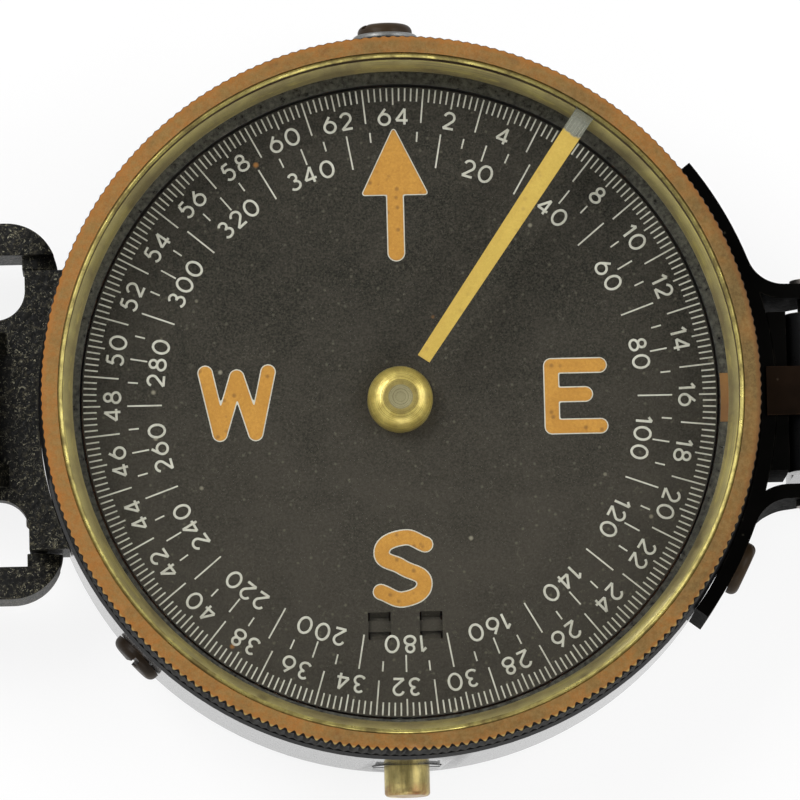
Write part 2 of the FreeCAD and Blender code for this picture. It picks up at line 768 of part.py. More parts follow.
def plunger():
    head = plunger_bar(button_radius, button_end, button_inner_end)
    rim = [edge for edge in head.Edges
           if edge.Length > button_radius and edge.CenterOfMass.y < -button_end + shaft_gap]
    head = head.makeFillet(button_rounding, rim)
    rod = plunger_bar(rod_radius, button_inner_end + shaft_gap, rod_inner_end)
    slope = math.tan(math.radians(wedge_angle))
    low = lifter_bottom - wedge_drop - wedge_gap
    far = lifter_foot_end + rod_radius
    near = rod_inner_end - overrun
    corners = [point(-rod_radius, -near, low - slope * (lifter_foot_start - near)),
               point(-rod_radius, -far, low + slope * (far - lifter_foot_start)),
               point(-rod_radius, -far, lifter_top), point(-rod_radius, -near, lifter_top)]
    wedge = Part.Face(Part.makePolygon(corners + corners[:1])).extrude(point(2 * rod_radius, 0, 0))
    return head.fuse(rod).cut(wedge)


def plunger_clip():
    inner = bush_inner_end - shaft_gap
    ring = plunger_bar(clip_radius, inner, inner - clip_thickness)
    return ring.cut(plunger_bar(rod_radius, inner + overrun, inner - clip_thickness - overrun))


def plunger_bush():
    outer = flange_seat + bush_flange_thickness
    bush = plunger_bar(bush_radius, outer, bush_inner_end)
    bush = bush.fuse(plunger_bar(bush_flange_radius, outer, flange_seat))
    bush = bush.cut(plunger_bar(button_radius + shaft_gap, outer + overrun, bush_inner_end + bush_end_wall))
    bush = bush.cut(plunger_bar(rod_radius + shaft_gap, outer, bush_inner_end - overrun))
    half = bush_slot_width / 2
    for side in (-1, 1):
        inner = side * (button_radius + shaft_gap)
        outer_x = side * (bush_flange_radius + overrun)
        slot = block((min(inner, outer_x), -outer - overrun, plunger_height - half),
                     (max(inner, outer_x), -outer + bush_slot_depth, plunger_height + half))
        bush = bush.cut(slot)
    return bush


# Screws in the wall

def round_screw(seat, slot_angle):
    """Screw along X whose head sits on a face at the given reach."""
    front = seat + screw_head_height
    head = radial_bar(screw_head_radius, seat, front, screw_height)
    rim = [edge for edge in head.Edges
           if edge.Length > screw_head_radius and edge.CenterOfMass.x > seat + shaft_gap]
    head = head.makeFillet(screw_head_rounding, rim)
    half = screw_slot_width / 2
    side = screw_head_radius + overrun
    slot = block((front - screw_slot_depth, -side, screw_height - half),
                 (front + overrun, side, screw_height + half))
    slot.rotate(point(seat, 0, screw_height), along_x, slot_angle)
    shank = radial_bar(screw_shank_radius, case_radius - screw_shank_length, seat + shaft_gap, screw_height)
    return head.cut(slot).fuse(shank)


def case_screws():
    angles = screw_angles + (bracket_screw_angle,)
    slot_turns = screw_slot_turns + (bracket_screw_slot_turn,)
    return Part.makeCompound([round_z(round_screw(seat, turn), angle)
                              for seat, turn, angle in zip(screw_seats, slot_turns, angles)])


def case_screw_washers():
    """Spacer on the case's wall and the washer on it, both on the first screw."""
    spacer = radial_bar(spacer_radius, case_radius - overrun, washer_seat, screw_height)
    spacer = spacer.cut(disc(case_radius, 0, case_height))
    washer = radial_bar(screw_washer_radius, washer_seat, washer_seat + screw_washer_thickness, screw_height)
    rims = [edge for edge in washer.Edges if edge.Length > screw_washer_radius]
    washer = washer.makeFillet(screw_washer_rounding, rims)
    bore = radial_bar(screw_shank_radius + spacer_gap, case_radius - overrun, screw_seats[0] + overrun,
                      screw_height)
    return Part.makeCompound([round_z(ring.cut(bore), screw_angles[0]) for ring in (spacer, washer)])


# Strap and lid hinge

def strap_bend_centre():
    y = strap_half_width + strap_bend_radius
    return math.sqrt((strap_outer_radius + strap_bend_radius) ** 2 - y ** 2), y


def strap_arm(end_angle):
    """Northern arm and cheek: an arc on the case, a bend, and a straight cheek."""
    bottom = strap_bottom
    bend_x, bend_y = strap_bend_centre()
    turn = math.atan2(bend_y, bend_x)
    end = math.radians(end_angle)
    middle = (turn + end) / 2
    leave = 3 * math.pi / 2
    meet = turn + math.pi
    bend_middle = (leave + meet) / 2

    def on_case(radius, angle):
        return point(radius * math.cos(angle), radius * math.sin(angle), bottom)

    def on_bend(radius, angle):
        return point(bend_x + radius * math.cos(angle), bend_y + radius * math.sin(angle), bottom)

    def side(case_r, bend_r):
        hug = Part.Arc(on_case(case_r, end), on_case(case_r, middle), on_case(case_r, turn))
        bend = Part.Arc(on_bend(bend_r, meet), on_bend(bend_r, bend_middle), on_bend(bend_r, leave))
        return [hug.toShape(), bend.toShape()]

    reach = lid_pin_reach + knuckle_radius + overrun
    outer = side(strap_outer_radius, strap_bend_radius)
    inner = side(strap_inner_radius, strap_bend_radius + strap_thickness)
    outer_end = point(reach, strap_half_width, bottom)
    inner_end = point(reach, cheek_inner, bottom)
    straight = [Part.makeLine(on_bend(strap_bend_radius, leave), outer_end),
                Part.makeLine(outer_end, inner_end),
                Part.makeLine(inner_end, on_bend(strap_bend_radius + strap_thickness, leave)),
                Part.makeLine(on_case(strap_inner_radius, end), on_case(strap_outer_radius, end))]
    edges = Part.__sortEdges__(outer + inner + straight)
    return Part.Face(Part.Wire(edges)).extrude(point(0, 0, strap_top - bottom))


def cheek_side_view():
    """Full height by the case, tapered to a round boss at the pin."""
    boss = strap_top - lid_pin_height
    start = lid_pin_reach - strap_taper
    slope = math.radians(strap_boss_meet)
    body = upright([(0, strap_bottom), (start, strap_bottom),
                    (lid_pin_reach + boss * math.cos(slope), lid_pin_height + boss * math.sin(slope)),
                    (lid_pin_reach, lid_pin_height), (lid_pin_reach, strap_top), (0, strap_top)],
                   wide)
    return body.fuse(cross_pin(boss, lid_pin_reach, lid_pin_height, -wide, wide))


def strap_rivet_holes():
    holes = []
    for height in strap_rivet_heights:
        bar = radial_bar(rivet_radius, strap_outer_radius - rivet_depth, strap_outer_radius + overrun, height)
        holes.append(round_z(bar, strap_rivet_angle))
    return holes


def hinge_bracket():
    north_angle, south_angle = strap_angles
    arms = strap_arm(north_angle).fuse(mirrored_y(strap_arm(south_angle)))
    web = tube(strap_outer_radius, strap_inner_radius, strap_bottom, strap_top)
    bend_x, bend_y = strap_bend_centre()
    web_half = strap_outer_radius * bend_y / math.hypot(bend_x, bend_y)
    web = web.common(block((0, -web_half, 0), (strap_outer_radius, web_half, case_height)))
    bracket = arms.fuse(web).common(cheek_side_view())
    hole = radial_bar(screw_shank_radius + screw_hole_gap, case_radius - overrun,
                      strap_outer_radius + overrun, screw_height)
    bracket = bracket.cut(round_z(hole, bracket_screw_angle))
    for bar in strap_rivet_holes() + block_screw_bars():
        bracket = bracket.cut(bar)
    seat = cross_pin(lid_pin_head_radius + seat_gap, lid_pin_reach, lid_pin_height, strap_half_width, wide)
    bracket = bracket.cut(seat).cut(mirrored_y(seat))
    return bracket.cut(cross_pin(lid_pin_radius, lid_pin_reach, lid_pin_height, -wide, wide))


def bracket_rivets():
    """Rivets filed nearly flush with the strap."""
    flush = disc(strap_outer_radius + rivet_proud, 0, case_height)
    return Part.makeCompound([bar.common(flush) for bar in strap_rivet_holes()])


def hinge_block():
    """Black block on the strap's web, hollowed to clear the lid's knuckle."""
    face = strap_outer_radius + block_thickness
    body = block((case_radius, -block_half_width, block_bottom), (face, block_half_width, strap_top))
    body = body.cut(disc(strap_outer_radius + seat_gap, 0, case_height))
    clear = knuckle_radius + running_gap
    body = body.cut(cross_pin(clear, lid_pin_reach, lid_pin_height, -wide, wide))
    for screw in block_screw_bars():
        body = body.cut(screw)
    return body


def block_screw_bars():
    """Shanks from the block's outer face through the strap's web to the case."""
    face = strap_outer_radius + block_thickness
    reach = math.sqrt(strap_inner_radius ** 2 - (block_screw_offset - block_screw_radius) ** 2) + seat_gap
    return [Part.makeCylinder(block_screw_radius, face - reach,
                              point(reach, side * block_screw_offset, block_screw_height), along_x)
            for side in (-1, 1)]


def hinge_block_screws():
    face = strap_outer_radius + block_thickness
    half = block_screw_slot / 2
    screws = []
    for bar in block_screw_bars():
        y = bar.CenterOfMass.y
        slot = block((face - block_screw_slot, y - block_screw_radius, block_screw_height - half),
                     (face + overrun, y + block_screw_radius, block_screw_height + half))
        screws.append(bar.cut(slot))
    return Part.makeCompound(screws)


def lid_friction_leaf():
    """Springy leaf that lies on the strap and the block and reaches over the knuckle's middle."""
    end = lid_pin_reach + leaf_overhang
    return block((leaf_start, -leaf_half_width, strap_top),
                 (end, leaf_half_width, strap_top + leaf_thickness))


def lid_hinge_pin():
    ends = strap_half_width + lid_pin_head_thickness
    pin = cross_pin(lid_pin_radius, lid_pin_reach, lid_pin_height, -strap_half_width, strap_half_width)
    for start in (-ends, strap_half_width):
        pin = pin.fuse(cross_pin(lid_pin_head_radius, lid_pin_reach, lid_pin_height, start,
                                 start + lid_pin_head_thickness))
    return pin


# Lid, lying open with its outer face down

def lid_side_arms():
    """Side view of the arms from the knuckle down to the lid."""
    half = lid_arm_thickness / 2
    edge = lid_centre - lid_radius + lid_wall
    return [(lid_pin_reach - half, lid_pin_height), (lid_pin_reach - half, lid_edge_rounding),
            (lid_pin_reach - half + lid_edge_rounding, 0), (edge, 0), (edge, lid_height),
            (lid_pin_reach + half, lid_height), (lid_pin_reach + half, lid_pin_height)]


def lid_hinge():
    arms = upright(lid_side_arms(), knuckle_half_width)
    gap = block((0, -knuckle_middle_half_width, -overrun),
                (lid_pin_reach + case_radius, knuckle_middle_half_width, bezel_top))
    arms = arms.cut(gap)
    arms = arms.cut(disc(lid_radius, -overrun, lid_height + overrun, lid_centre))
    knuckle = cross_pin(knuckle_radius, lid_pin_reach, lid_pin_height, -knuckle_half_width,
                        knuckle_half_width)
    arms = arms.fuse(knuckle)
    for hole in lid_rivet_bars():
        arms = arms.cut(hole)
    return arms.cut(cross_pin(lid_pin_radius + shaft_gap, lid_pin_reach, lid_pin_height, -wide, wide))


def lid_rivet_bars():
    """Shanks through the lid's rim into its hinge."""
    inner = math.sqrt((lid_radius - lid_wall) ** 2 - lid_rivet_offset ** 2)
    start = lid_centre - inner - lid_wall - rivet_depth
    return [Part.makeCylinder(rivet_radius, lid_centre - inner - start,
                              point(start, side * lid_rivet_offset, lid_rivet_height), along_x)
            for side in (-1, 1)]


def lid_hinge_rivets():
    rivets = []
    rim = disc(lid_radius - lid_wall, 0, lid_height, lid_centre)
    for bar in lid_rivet_bars():
        place = bar.CenterOfMass
        face = lid_centre - math.sqrt((lid_radius - lid_wall) ** 2 - place.y ** 2)
        head = Part.makeCylinder(rivet_radius + rivet_head_height, rivet_head_height + overrun,
                                 point(face - overrun, place.y, place.z), along_x)
        rivets.append(bar.fuse(head.common(rim)))
    return Part.makeCompound(rivets)


def lid_shell():
    inner = lid_radius - lid_wall
    rim = lid_edge_rounding
    shell = turned([(0, 0), (lid_radius - rim, 0), (lid_radius, rim), (lid_radius, lid_height),
                    (inner, lid_height), (inner, lid_plate), (0, lid_plate)])
    edge = lid_slot_length / 2 + lid_slot_border
    side = lid_slot_width / 2 + lid_slot_border
    border = rounded_plate(-edge, edge, side, lid_slot_border, lid_plate, lid_plate + lid_border_height)
    shell = shell.fuse(border)
    slot = rounded_plate(-lid_slot_length / 2, lid_slot_length / 2, lid_slot_width / 2, lid_slot_border / 2,
                         -overrun, lid_plate + lid_border_height + overrun)
    shell = shell.cut(slot)
    notch = block((inner - overrun, -lid_notch_half_width, lid_height - lid_notch_depth),
                  (lid_radius + overrun, lid_notch_half_width, lid_height + overrun))
    shell = shell.cut(notch)
    for side in (-1, 1):
        x = side * wire_screw_reach
        shell = shell.cut(disc(wire_screw_radius / 2, lid_plate - wire_screw_depth, lid_plate + overrun, x))
    shell = shell.cut(radial_bar(wire_radius, -wire_reach, wire_reach, lid_plate))
    shell.translate(point(lid_centre, 0, 0))
    for hole in lid_rivet_bars():
        shell = shell.cut(hole)
    return shell


def sighting_wire():
    return radial_bar(wire_radius, lid_centre - wire_reach, lid_centre + wire_reach, lid_plate)


def wire_screws():
    """Screws whose heads press the wire's ends into the lid's plate."""
    screws = []
    seat = lid_plate + wire_radius
    for side in (-1, 1):
        x = lid_centre + side * wire_screw_reach
        head = disc(wire_screw_radius, seat, seat + wire_screw_height, x)
        shank = disc(wire_screw_radius / 2, lid_plate - wire_screw_depth, seat + shaft_gap, x)
        screws.append(head.fuse(shank))
    return Part.makeCompound(screws)


def luminous_dots():
    top = lid_plate + dot_thickness
    return Part.makeCompound([disc(dot_radius, lid_plate, top, lid_centre + side * dot_reach)
                              for side in (-1, 1)])


# Rear bracket, eyepiece and thumb ring

def rear_rivet_holes():
    return [rear_rivet_bar(side * rear_rivet_offset, rear_reach + overrun) for side in (-1, 1)]


def rear_rivet_bar(y, outer):
    """Round bar along X behind the case, from inside the case's wall out to a distance."""
    inner = math.sqrt(case_radius ** 2 - y ** 2) - rivet_depth
    return Part.makeCylinder(rivet_radius, outer - inner, point(-outer, y, rear_rivet_height), along_x)


def bracket_tongue():
    """Plate that leaves the bracket's outer face in two hollow curves."""
    corner_share = 1 - math.sqrt(0.5)

    def place(x, y):
        return point(-x, y, tongue_bottom)

    def hollow(side):
        return Part.Arc(
            place(rear_reach, side * (tongue_half_width + tongue_rounding)),
            place(rear_reach + tongue_rounding * corner_share,
                  side * (tongue_half_width + tongue_rounding * corner_share)),
            place(rear_reach + tongue_rounding, side * tongue_half_width)).toShape()

    root = tongue_half_width + tongue_rounding
    back = Part.makePolygon([place(rear_reach, -root), place(case_radius - rear_thickness, -root),
                             place(case_radius - rear_thickness, root), place(rear_reach, root)])
    tip = Part.makePolygon([place(rear_reach + tongue_rounding, tongue_half_width),
                            place(tongue_reach, tongue_half_width), place(tongue_reach, -tongue_half_width),
                            place(rear_reach + tongue_rounding, -tongue_half_width)])
    edges = Part.__sortEdges__(back.Edges + [hollow(1)] + tip.Edges + [hollow(-1)])
    return Part.Face(Part.Wire(edges)).extrude(point(0, 0, tongue_thickness))


def rear_bracket():
    saddle = block((-rear_reach, -rear_half_width, rear_bottom), (0, rear_half_width, rear_top))
    front = eyepiece_pin_reach + lug_radius
    top = eyepiece_pin_height + lug_radius
    foot = tongue_reach - lug_foot
    lug = upright([(-foot, tongue_bottom), (-tongue_reach, tongue_bottom), (-front, eyepiece_pin_height),
                   (-eyepiece_pin_reach, top), (-foot, rear_top)], lug_outer_half_width)
    lug = lug.fuse(cross_pin(lug_radius, -eyepiece_pin_reach, eyepiece_pin_height, -lug_outer_half_width,
                             lug_outer_half_width))
    room = block((-front - overrun, -lug_inner_half_width, 0), (0, lug_inner_half_width, top + overrun))
    lug = lug.cut(room)
    bracket = saddle.fuse(bracket_tongue()).fuse(lug)
    bracket = bracket.cut(disc(strap_inner_radius, 0, case_height + bezel_height))
    pin = cross_pin(eyepiece_pin_radius, -eyepiece_pin_reach, eyepiece_pin_height, -wide, wide)
    bracket = bracket.cut(pin)
    bore = cross_pin(ring_pin_radius, -ring_hinge_reach, ring_hinge_height, ring_pin_inner, wide)
    bracket = bracket.cut(bore).cut(mirrored_y(bore))
    for hole in rear_rivet_holes():
        bracket = bracket.cut(hole)
    return bracket


def rear_bracket_rivets():
    rivets = []
    for side in (-1, 1):
        y = side * rear_rivet_offset
        shank = rear_rivet_bar(y, rear_reach)
        head = Part.makeCone(rivet_radius + rivet_head_height, rivet_radius, rivet_head_height,
                             point(-rear_reach, y, rear_rivet_height), -along_x)
        rivets.append(shank.fuse(head))
    return Part.makeCompound(rivets)


def eyepiece_hinge_pin():
    reach = lug_outer_half_width + hinge_side_gap
    return cross_pin(eyepiece_pin_radius, -eyepiece_pin_reach, eyepiece_pin_height, -reach, reach)


def eyepiece_bracket():
    web_front = -eyepiece_pin_reach - eyepiece_barrel_radius
    plate = block((-lens_reach, -eyepiece_half_width, eyepiece_bottom),
                  (-eyepiece_shoulder, eyepiece_half_width, eyepiece_top))
    plate = plate.fuse(disc(eyepiece_half_width, eyepiece_bottom, eyepiece_top, -lens_reach))
    plate = plate.fuse(block((-eyepiece_shoulder - overrun, -eyepiece_side, eyepiece_bottom),
                             (web_front + eyepiece_plate, eyepiece_side, eyepiece_top)))
    web = block((web_front, -eyepiece_side, eyepiece_bottom),
                (web_front + eyepiece_plate, eyepiece_side, eyepiece_pin_height))
    barrel = cross_pin(eyepiece_barrel_radius, -eyepiece_pin_reach, eyepiece_pin_height, -eyepiece_side,
                       eyepiece_side)
    bracket = plate.fuse(web).fuse(barrel)
    bracket = bracket.cut(cross_pin(eyepiece_pin_radius + shaft_gap, -eyepiece_pin_reach,
                                    eyepiece_pin_height, -wide, wide))
    bracket = bracket.cut(disc(lens_hole_radius, 0, case_height, -lens_reach))
    seat = eyepiece_top - lens_ring_thickness - lens_edge
    bracket = bracket.cut(disc(lens_radius, seat, case_height, -lens_reach))
    half = sight_notch_width / 2
    notch = block((-eyepiece_tip - overrun, -half, 0), (-eyepiece_tip + sight_notch_depth, half, case_height))
    return bracket.cut(notch)


def eyepiece_lens():
    radius = lens_radius - lens_gap
    top = eyepiece_top - lens_ring_thickness
    bottom = top - lens_edge
    clear = lens_hole_radius - lens_gap
    ball = (clear ** 2 + lens_bulge ** 2) / (2 * lens_bulge)
    slab = disc(clear, bottom - lens_bulge, top + lens_bulge, -lens_reach)
    upper = Part.makeSphere(ball, point(-lens_reach, 0, top + lens_bulge - ball))
    lower = Part.makeSphere(ball, point(-lens_reach, 0, bottom - lens_bulge + ball))
    return disc(radius, bottom, top, -lens_reach).fuse(slab.common(upper).common(lower))


def lens_ring():
    ring = disc(lens_radius, eyepiece_top - lens_ring_thickness, eyepiece_top, -lens_reach)
    return ring.cut(disc(lens_hole_radius, 0, case_height, -lens_reach))


def ring_slab(half_height, reach, inner, outer):
    """Bar along Y between two widths, round towards the case about the hinge and flat at its reach behind."""
    def place(x, z):
        return point(-x, inner, ring_hinge_height + z)

    front = Part.Arc(place(ring_hinge_reach, half_height), place(ring_hinge_reach - half_height, 0),
                     place(ring_hinge_reach, -half_height)).toShape()
    back = Part.makePolygon([place(ring_hinge_reach, -half_height), place(reach, -half_height),
                             place(reach, half_height), place(ring_hinge_reach, half_height)])
    edges = Part.__sortEdges__([front] + back.Edges)
    return Part.Face(Part.Wire(edges)).extrude(point(0, outer - inner, 0))


def thumb_ring():
    low = ring_bottom - overrun
    high = ring_top + overrun
    outer = rounded_plate(-ring_far_reach, -ring_near_reach, ring_half_width, ring_near_rounding, low, high)
    tail = rounded_plate(-ring_far_reach, case_radius, ring_half_width, ring_far_rounding, low, high)
    outline = outer.common(tail)
    opening = rounded_plate(-ring_far_reach + ring_wall, case_radius, ring_inner_half_width,
                            ring_far_rounding - ring_wall, low - overrun, high + overrun)
    ring = outline.cut(opening).common(ring_slab(ring_height / 2, ring_far_reach + overrun, -wide, wide))
    knuckle = ring_slab(ring_knuckle_radius, ring_hinge_reach + ring_knuckle_back,
                        rear_half_width + ring_side_gap, ring_inner_half_width).common(outline)
    ring = ring.fuse(knuckle).fuse(mirrored_y(knuckle))
    bore = cross_pin(ring_pin_radius + shaft_gap, -ring_hinge_reach, ring_hinge_height, 0,
                     ring_pin_outer + shaft_gap)
    return ring.cut(bore).cut(mirrored_y(bore))


def thumb_ring_pins():
    pin = cross_pin(ring_pin_radius, -ring_hinge_reach, ring_hinge_height, ring_pin_inner, ring_pin_outer)
    return Part.makeCompound([pin, mirrored_y(pin)])


pieces = [
    case_body, damping_bowl, index_patch, pivot_base, pivot_post, bezel_snap_ring, bezel_click_spring,
    bezel_ring, crystal_gasket, crystal, crystal_retainer, luminous_line, dial_card, magnet_bar,
    dial_cap, jewel_bearing, cap_washer, balance_weight, lifter, lifter_spring, plunger, plunger_clip,
    plunger_bush, case_screws, case_screw_washers, hinge_bracket, bracket_rivets, hinge_block,
    hinge_block_screws, lid_friction_leaf, lid_hinge_pin, lid_hinge, lid_hinge_rivets, lid_shell,
    sighting_wire, wire_screws, luminous_dots, rear_bracket, rear_bracket_rivets, eyepiece_hinge_pin,
    eyepiece_bracket, eyepiece_lens, lens_ring, thumb_ring, thumb_ring_pins,
]

os.makedirs("parts", exist_ok=True)
for piece in pieces:
    save(piece.__name__, piece())
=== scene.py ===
import json
import math

import bmesh
import bpy
from mathutils import Matrix, Vector


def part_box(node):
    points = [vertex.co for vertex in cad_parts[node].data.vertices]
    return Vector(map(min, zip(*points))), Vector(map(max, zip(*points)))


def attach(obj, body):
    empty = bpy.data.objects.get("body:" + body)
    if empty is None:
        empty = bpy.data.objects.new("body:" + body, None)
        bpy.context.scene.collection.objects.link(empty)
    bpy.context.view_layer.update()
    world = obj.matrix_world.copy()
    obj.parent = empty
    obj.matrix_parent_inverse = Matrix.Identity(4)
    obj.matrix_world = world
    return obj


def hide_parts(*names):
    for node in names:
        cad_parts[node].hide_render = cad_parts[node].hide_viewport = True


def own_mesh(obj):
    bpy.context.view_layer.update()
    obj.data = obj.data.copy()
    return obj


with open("model.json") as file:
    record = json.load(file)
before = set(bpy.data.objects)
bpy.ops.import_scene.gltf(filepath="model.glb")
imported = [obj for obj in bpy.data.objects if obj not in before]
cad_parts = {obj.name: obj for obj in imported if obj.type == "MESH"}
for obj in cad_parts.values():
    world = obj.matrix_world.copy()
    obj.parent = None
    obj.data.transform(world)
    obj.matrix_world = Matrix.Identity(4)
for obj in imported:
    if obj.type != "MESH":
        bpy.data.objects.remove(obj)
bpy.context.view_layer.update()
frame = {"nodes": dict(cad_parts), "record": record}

# Marching compass, lid open flat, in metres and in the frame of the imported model.
# Lengths in the settings are in millimetres, and texture scales are in cells per metre.

mm = 0.001
nodes = frame["nodes"]
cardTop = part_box("dial_card")[1].z
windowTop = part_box("bezel_ring")[1].z


# Shader tree helpers

def addNode(tree, kind, settings=None, inputs=None):
    node = tree.nodes.new("ShaderNode" + kind)
    for key, value in (settings or {}).items():
        setattr(node, key, value)
    for key, value in (inputs or {}).items():
        if isinstance(value, bpy.types.NodeSocket):
            tree.links.new(value, node.inputs[key])
        else:
            node.inputs[key].default_value = value
    return node


def mathNode(tree, operation, a, b=0.0, clamp=False):
    return addNode(tree, "Math", {"operation": operation, "use_clamp": clamp}, {0: a, 1: b}).outputs[0]


def product(tree, first, second):
    return mathNode(tree, "MULTIPLY", first, second)


def remap(tree, value, low, high, outLow=0.0, outHigh=1.0):
    spans = {"Value": value, "From Min": low, "From Max": high, "To Min": outLow, "To Max": outHigh}
    return addNode(tree, "MapRange", {"clamp": True}, spans).outputs["Result"]


def mixColors(tree, factor, first, second):
    return addNode(tree, "Mix", {"data_type": "RGBA"}, {0: factor, 6: first, 7: second}).outputs[2]


def noise(tree, coords, scale, detail=3.0, roughness=0.6, distortion=0.0):
    inputs = {"Vector": coords, "Scale": scale, "Detail": detail, "Roughness": roughness,
              "Distortion": distortion}
    return addNode(tree, "TexNoise", None, inputs).outputs["Fac"]


def rgb(red, green, blue):
    return (red, green, blue, 1.0)


# Shared effects, each a node group that puts out masks or values

def newGroup(name, inputs, outputs):
    group = bpy.data.node_groups.new(name, "ShaderNodeTree")
    for label, kind, value in inputs:
        socket = group.interface.new_socket(name=label, in_out="INPUT", socket_type="NodeSocket" + kind)
        if value is not None:
            socket.default_value = value
    for label in outputs:
        group.interface.new_socket(name=label, in_out="OUTPUT", socket_type="NodeSocketFloat")
    start = group.nodes.new("NodeGroupInput")
    end = group.nodes.new("NodeGroupOutput")
    return group, start.outputs, end.inputs


def buildMottle():
    # broad stains and fine grain in one call
    group, given, out = newGroup("mottle", [("Coords", "Vector", None), ("Stain Scale", "Float", 200.0),
                                            ("Grain Scale", "Float", 3000.0)], ["Stain", "Grain"])
    stain = noise(group, given["Coords"], given["Stain Scale"], detail=4.0, roughness=0.62, distortion=0.4)
    grain = noise(group, given["Coords"], given["Grain Scale"], detail=3.0, roughness=0.7)
    group.links.new(remap(group, stain, 0.36, 0.64), out["Stain"])
    group.links.new(remap(group, grain, 0.3, 0.7), out["Grain"])
    return group


def buildSpecks():
    # round specks scattered in cells: Amount is the share of cells that hold one
    group, given, out = newGroup("specks", [("Coords", "Vector", None), ("Scale", "Float", 900.0),
                                            ("Size", "Float", 0.2), ("Amount", "Float", 0.1)], ["Mask"])
    cells = addNode(group, "TexVoronoi", {"voronoi_dimensions": "3D"},
                    {"Vector": given["Coords"], "Scale": given["Scale"]})
    picked = addNode(group, "SeparateColor", None, {"Color": cells.outputs["Color"]}).outputs[0]
    held = mathNode(group, "LESS_THAN", picked, given["Amount"])
    inside = mathNode(group, "DIVIDE", cells.outputs["Distance"], given["Size"])
    dot = remap(group, inside, 1.0, 0.4)
    group.links.new(product(group, held, dot), out["Mask"])
    return group


def buildTurned():
    # fine rings and radial stains of work turned about Z through the origin
    group, given, out = newGroup("turned", [("Coords", "Vector", None), ("Ring Scale", "Float", 6000.0),
                                            ("Streak Scale", "Float", 14.0)], ["Radius", "Rings", "Streaks"])
    parts = addNode(group, "SeparateXYZ", None, {"Vector": given["Coords"]}).outputs
    flat = addNode(group, "CombineXYZ", None, {"X": parts[0], "Y": parts[1]}).outputs[0]
    radius = addNode(group, "VectorMath", {"operation": "LENGTH"}, {0: flat}).outputs["Value"]
    unit = addNode(group, "VectorMath", {"operation": "NORMALIZE"}, {0: flat}).outputs["Vector"]
    ringWay = product(group, radius, given["Ring Scale"])
    rings = addNode(group, "TexNoise", {"noise_dimensions": "1D"},
                    {"W": ringWay, "Scale": 1.0, "Detail": 3.0, "Roughness": 0.7}).outputs["Fac"]
    around = addNode(group, "VectorMath", {"operation": "SCALE"}, {0: unit, "Scale": given["Streak Scale"]})
    lift = addNode(group, "CombineXYZ", None, {"Z": product(group, radius, 500.0)}).outputs[0]
    place = addNode(group, "VectorMath", {"operation": "ADD"}, {0: around.outputs[0], 1: lift}).outputs[0]
    streaks = noise(group, place, 1.0, detail=5.0, roughness=0.72)
    group.links.new(radius, out["Radius"])
    group.links.new(remap(group, rings, 0.3, 0.7), out["Rings"])
    group.links.new(remap(group, streaks, 0.34, 0.66), out["Streaks"])
    return group


def buildRimWear():
    # finds sharp edges by comparing a rounded normal with the face's own
    group, given, out = newGroup("rimWear", [("Coords", "Vector", None), ("Width", "Float", 0.0003),
                                             ("Patchy Scale", "Float", 900.0)], ["Mask"])
    rounded = addNode(group, "Bevel", {"samples": 4}, {"Radius": given["Width"]}).outputs["Normal"]
    own = addNode(group, "NewGeometry").outputs["Normal"]
    dot = addNode(group, "VectorMath", {"operation": "DOT_PRODUCT"}, {0: rounded, 1: own}).outputs["Value"]
    edge = remap(group, dot, 0.99, 0.86)
    patches = noise(group, given["Coords"], given["Patchy Scale"], detail=4.0, roughness=0.7)
    group.links.new(product(group, edge, remap(group, patches, 0.46, 0.6)), out["Mask"])
    return group


def buildCrinkle():
    # wrinkle-finish paint: ridges round small cells
    group, given, out = newGroup("crinkle", [("Coords", "Vector", None), ("Scale", "Float", 2500.0)],
                                 ["Height", "Crest"])
    warp = noise(group, given["Coords"], given["Scale"], detail=2.0, roughness=0.5)
    bend = addNode(group, "CombineXYZ", None, {"X": product(group, warp, 0.4 * mm)}).outputs[0]
    bent = addNode(group, "VectorMath", {"operation": "ADD"}, {0: given["Coords"], 1: bend}).outputs[0]
    cells = addNode(group, "TexVoronoi", {"feature": "SMOOTH_F1"},
                    {"Vector": bent, "Scale": given["Scale"], "Smoothness": 0.6}).outputs["Distance"]
    lumps = noise(group, given["Coords"], given["Scale"])
    height = mathNode(group, "ADD", cells, product(group, lumps, 0.7))
    group.links.new(height, out["Height"])
    group.links.new(remap(group, height, 0.95, 1.25), out["Crest"])
    return group


def buildScratches():
    # short thin marks: contour lines of a stretched pattern, kept in patches
    group, given, out = newGroup("scratches", [("Coords", "Vector", None), ("Scale", "Float", 500.0),
                                               ("Amount", "Float", 0.15)], ["Mask"])
    lines = noise(group, given["Coords"], given["Scale"], detail=1.0, roughness=0.5, distortion=1.5)
    band = mathNode(group, "ABSOLUTE", mathNode(group, "SUBTRACT", lines, 0.5))
    thin = remap(group, band, 0.02, 0.006)
    patches = noise(group, given["Coords"], product(group, given["Scale"], 1.7), detail=2.0)
    kept = mathNode(group, "LESS_THAN", patches, mathNode(group, "ADD", given["Amount"], 0.25))
    group.links.new(product(group, thin, kept), out["Mask"])
    return group


mottle = buildMottle()
scratches = buildScratches()
specks = buildSpecks()
turned = buildTurned()
rimWear = buildRimWear()
crinkle = buildCrinkle()


def useGroup(tree, group, inputs):
    return addNode(tree, "Group", {"node_tree": group}, inputs).outputs


def useMottle(tree, coords, look):
    return useGroup(tree, mottle, {"Coords": coords, "Stain Scale": look["stainScale"],
                                   "Grain Scale": look["grainScale"]})


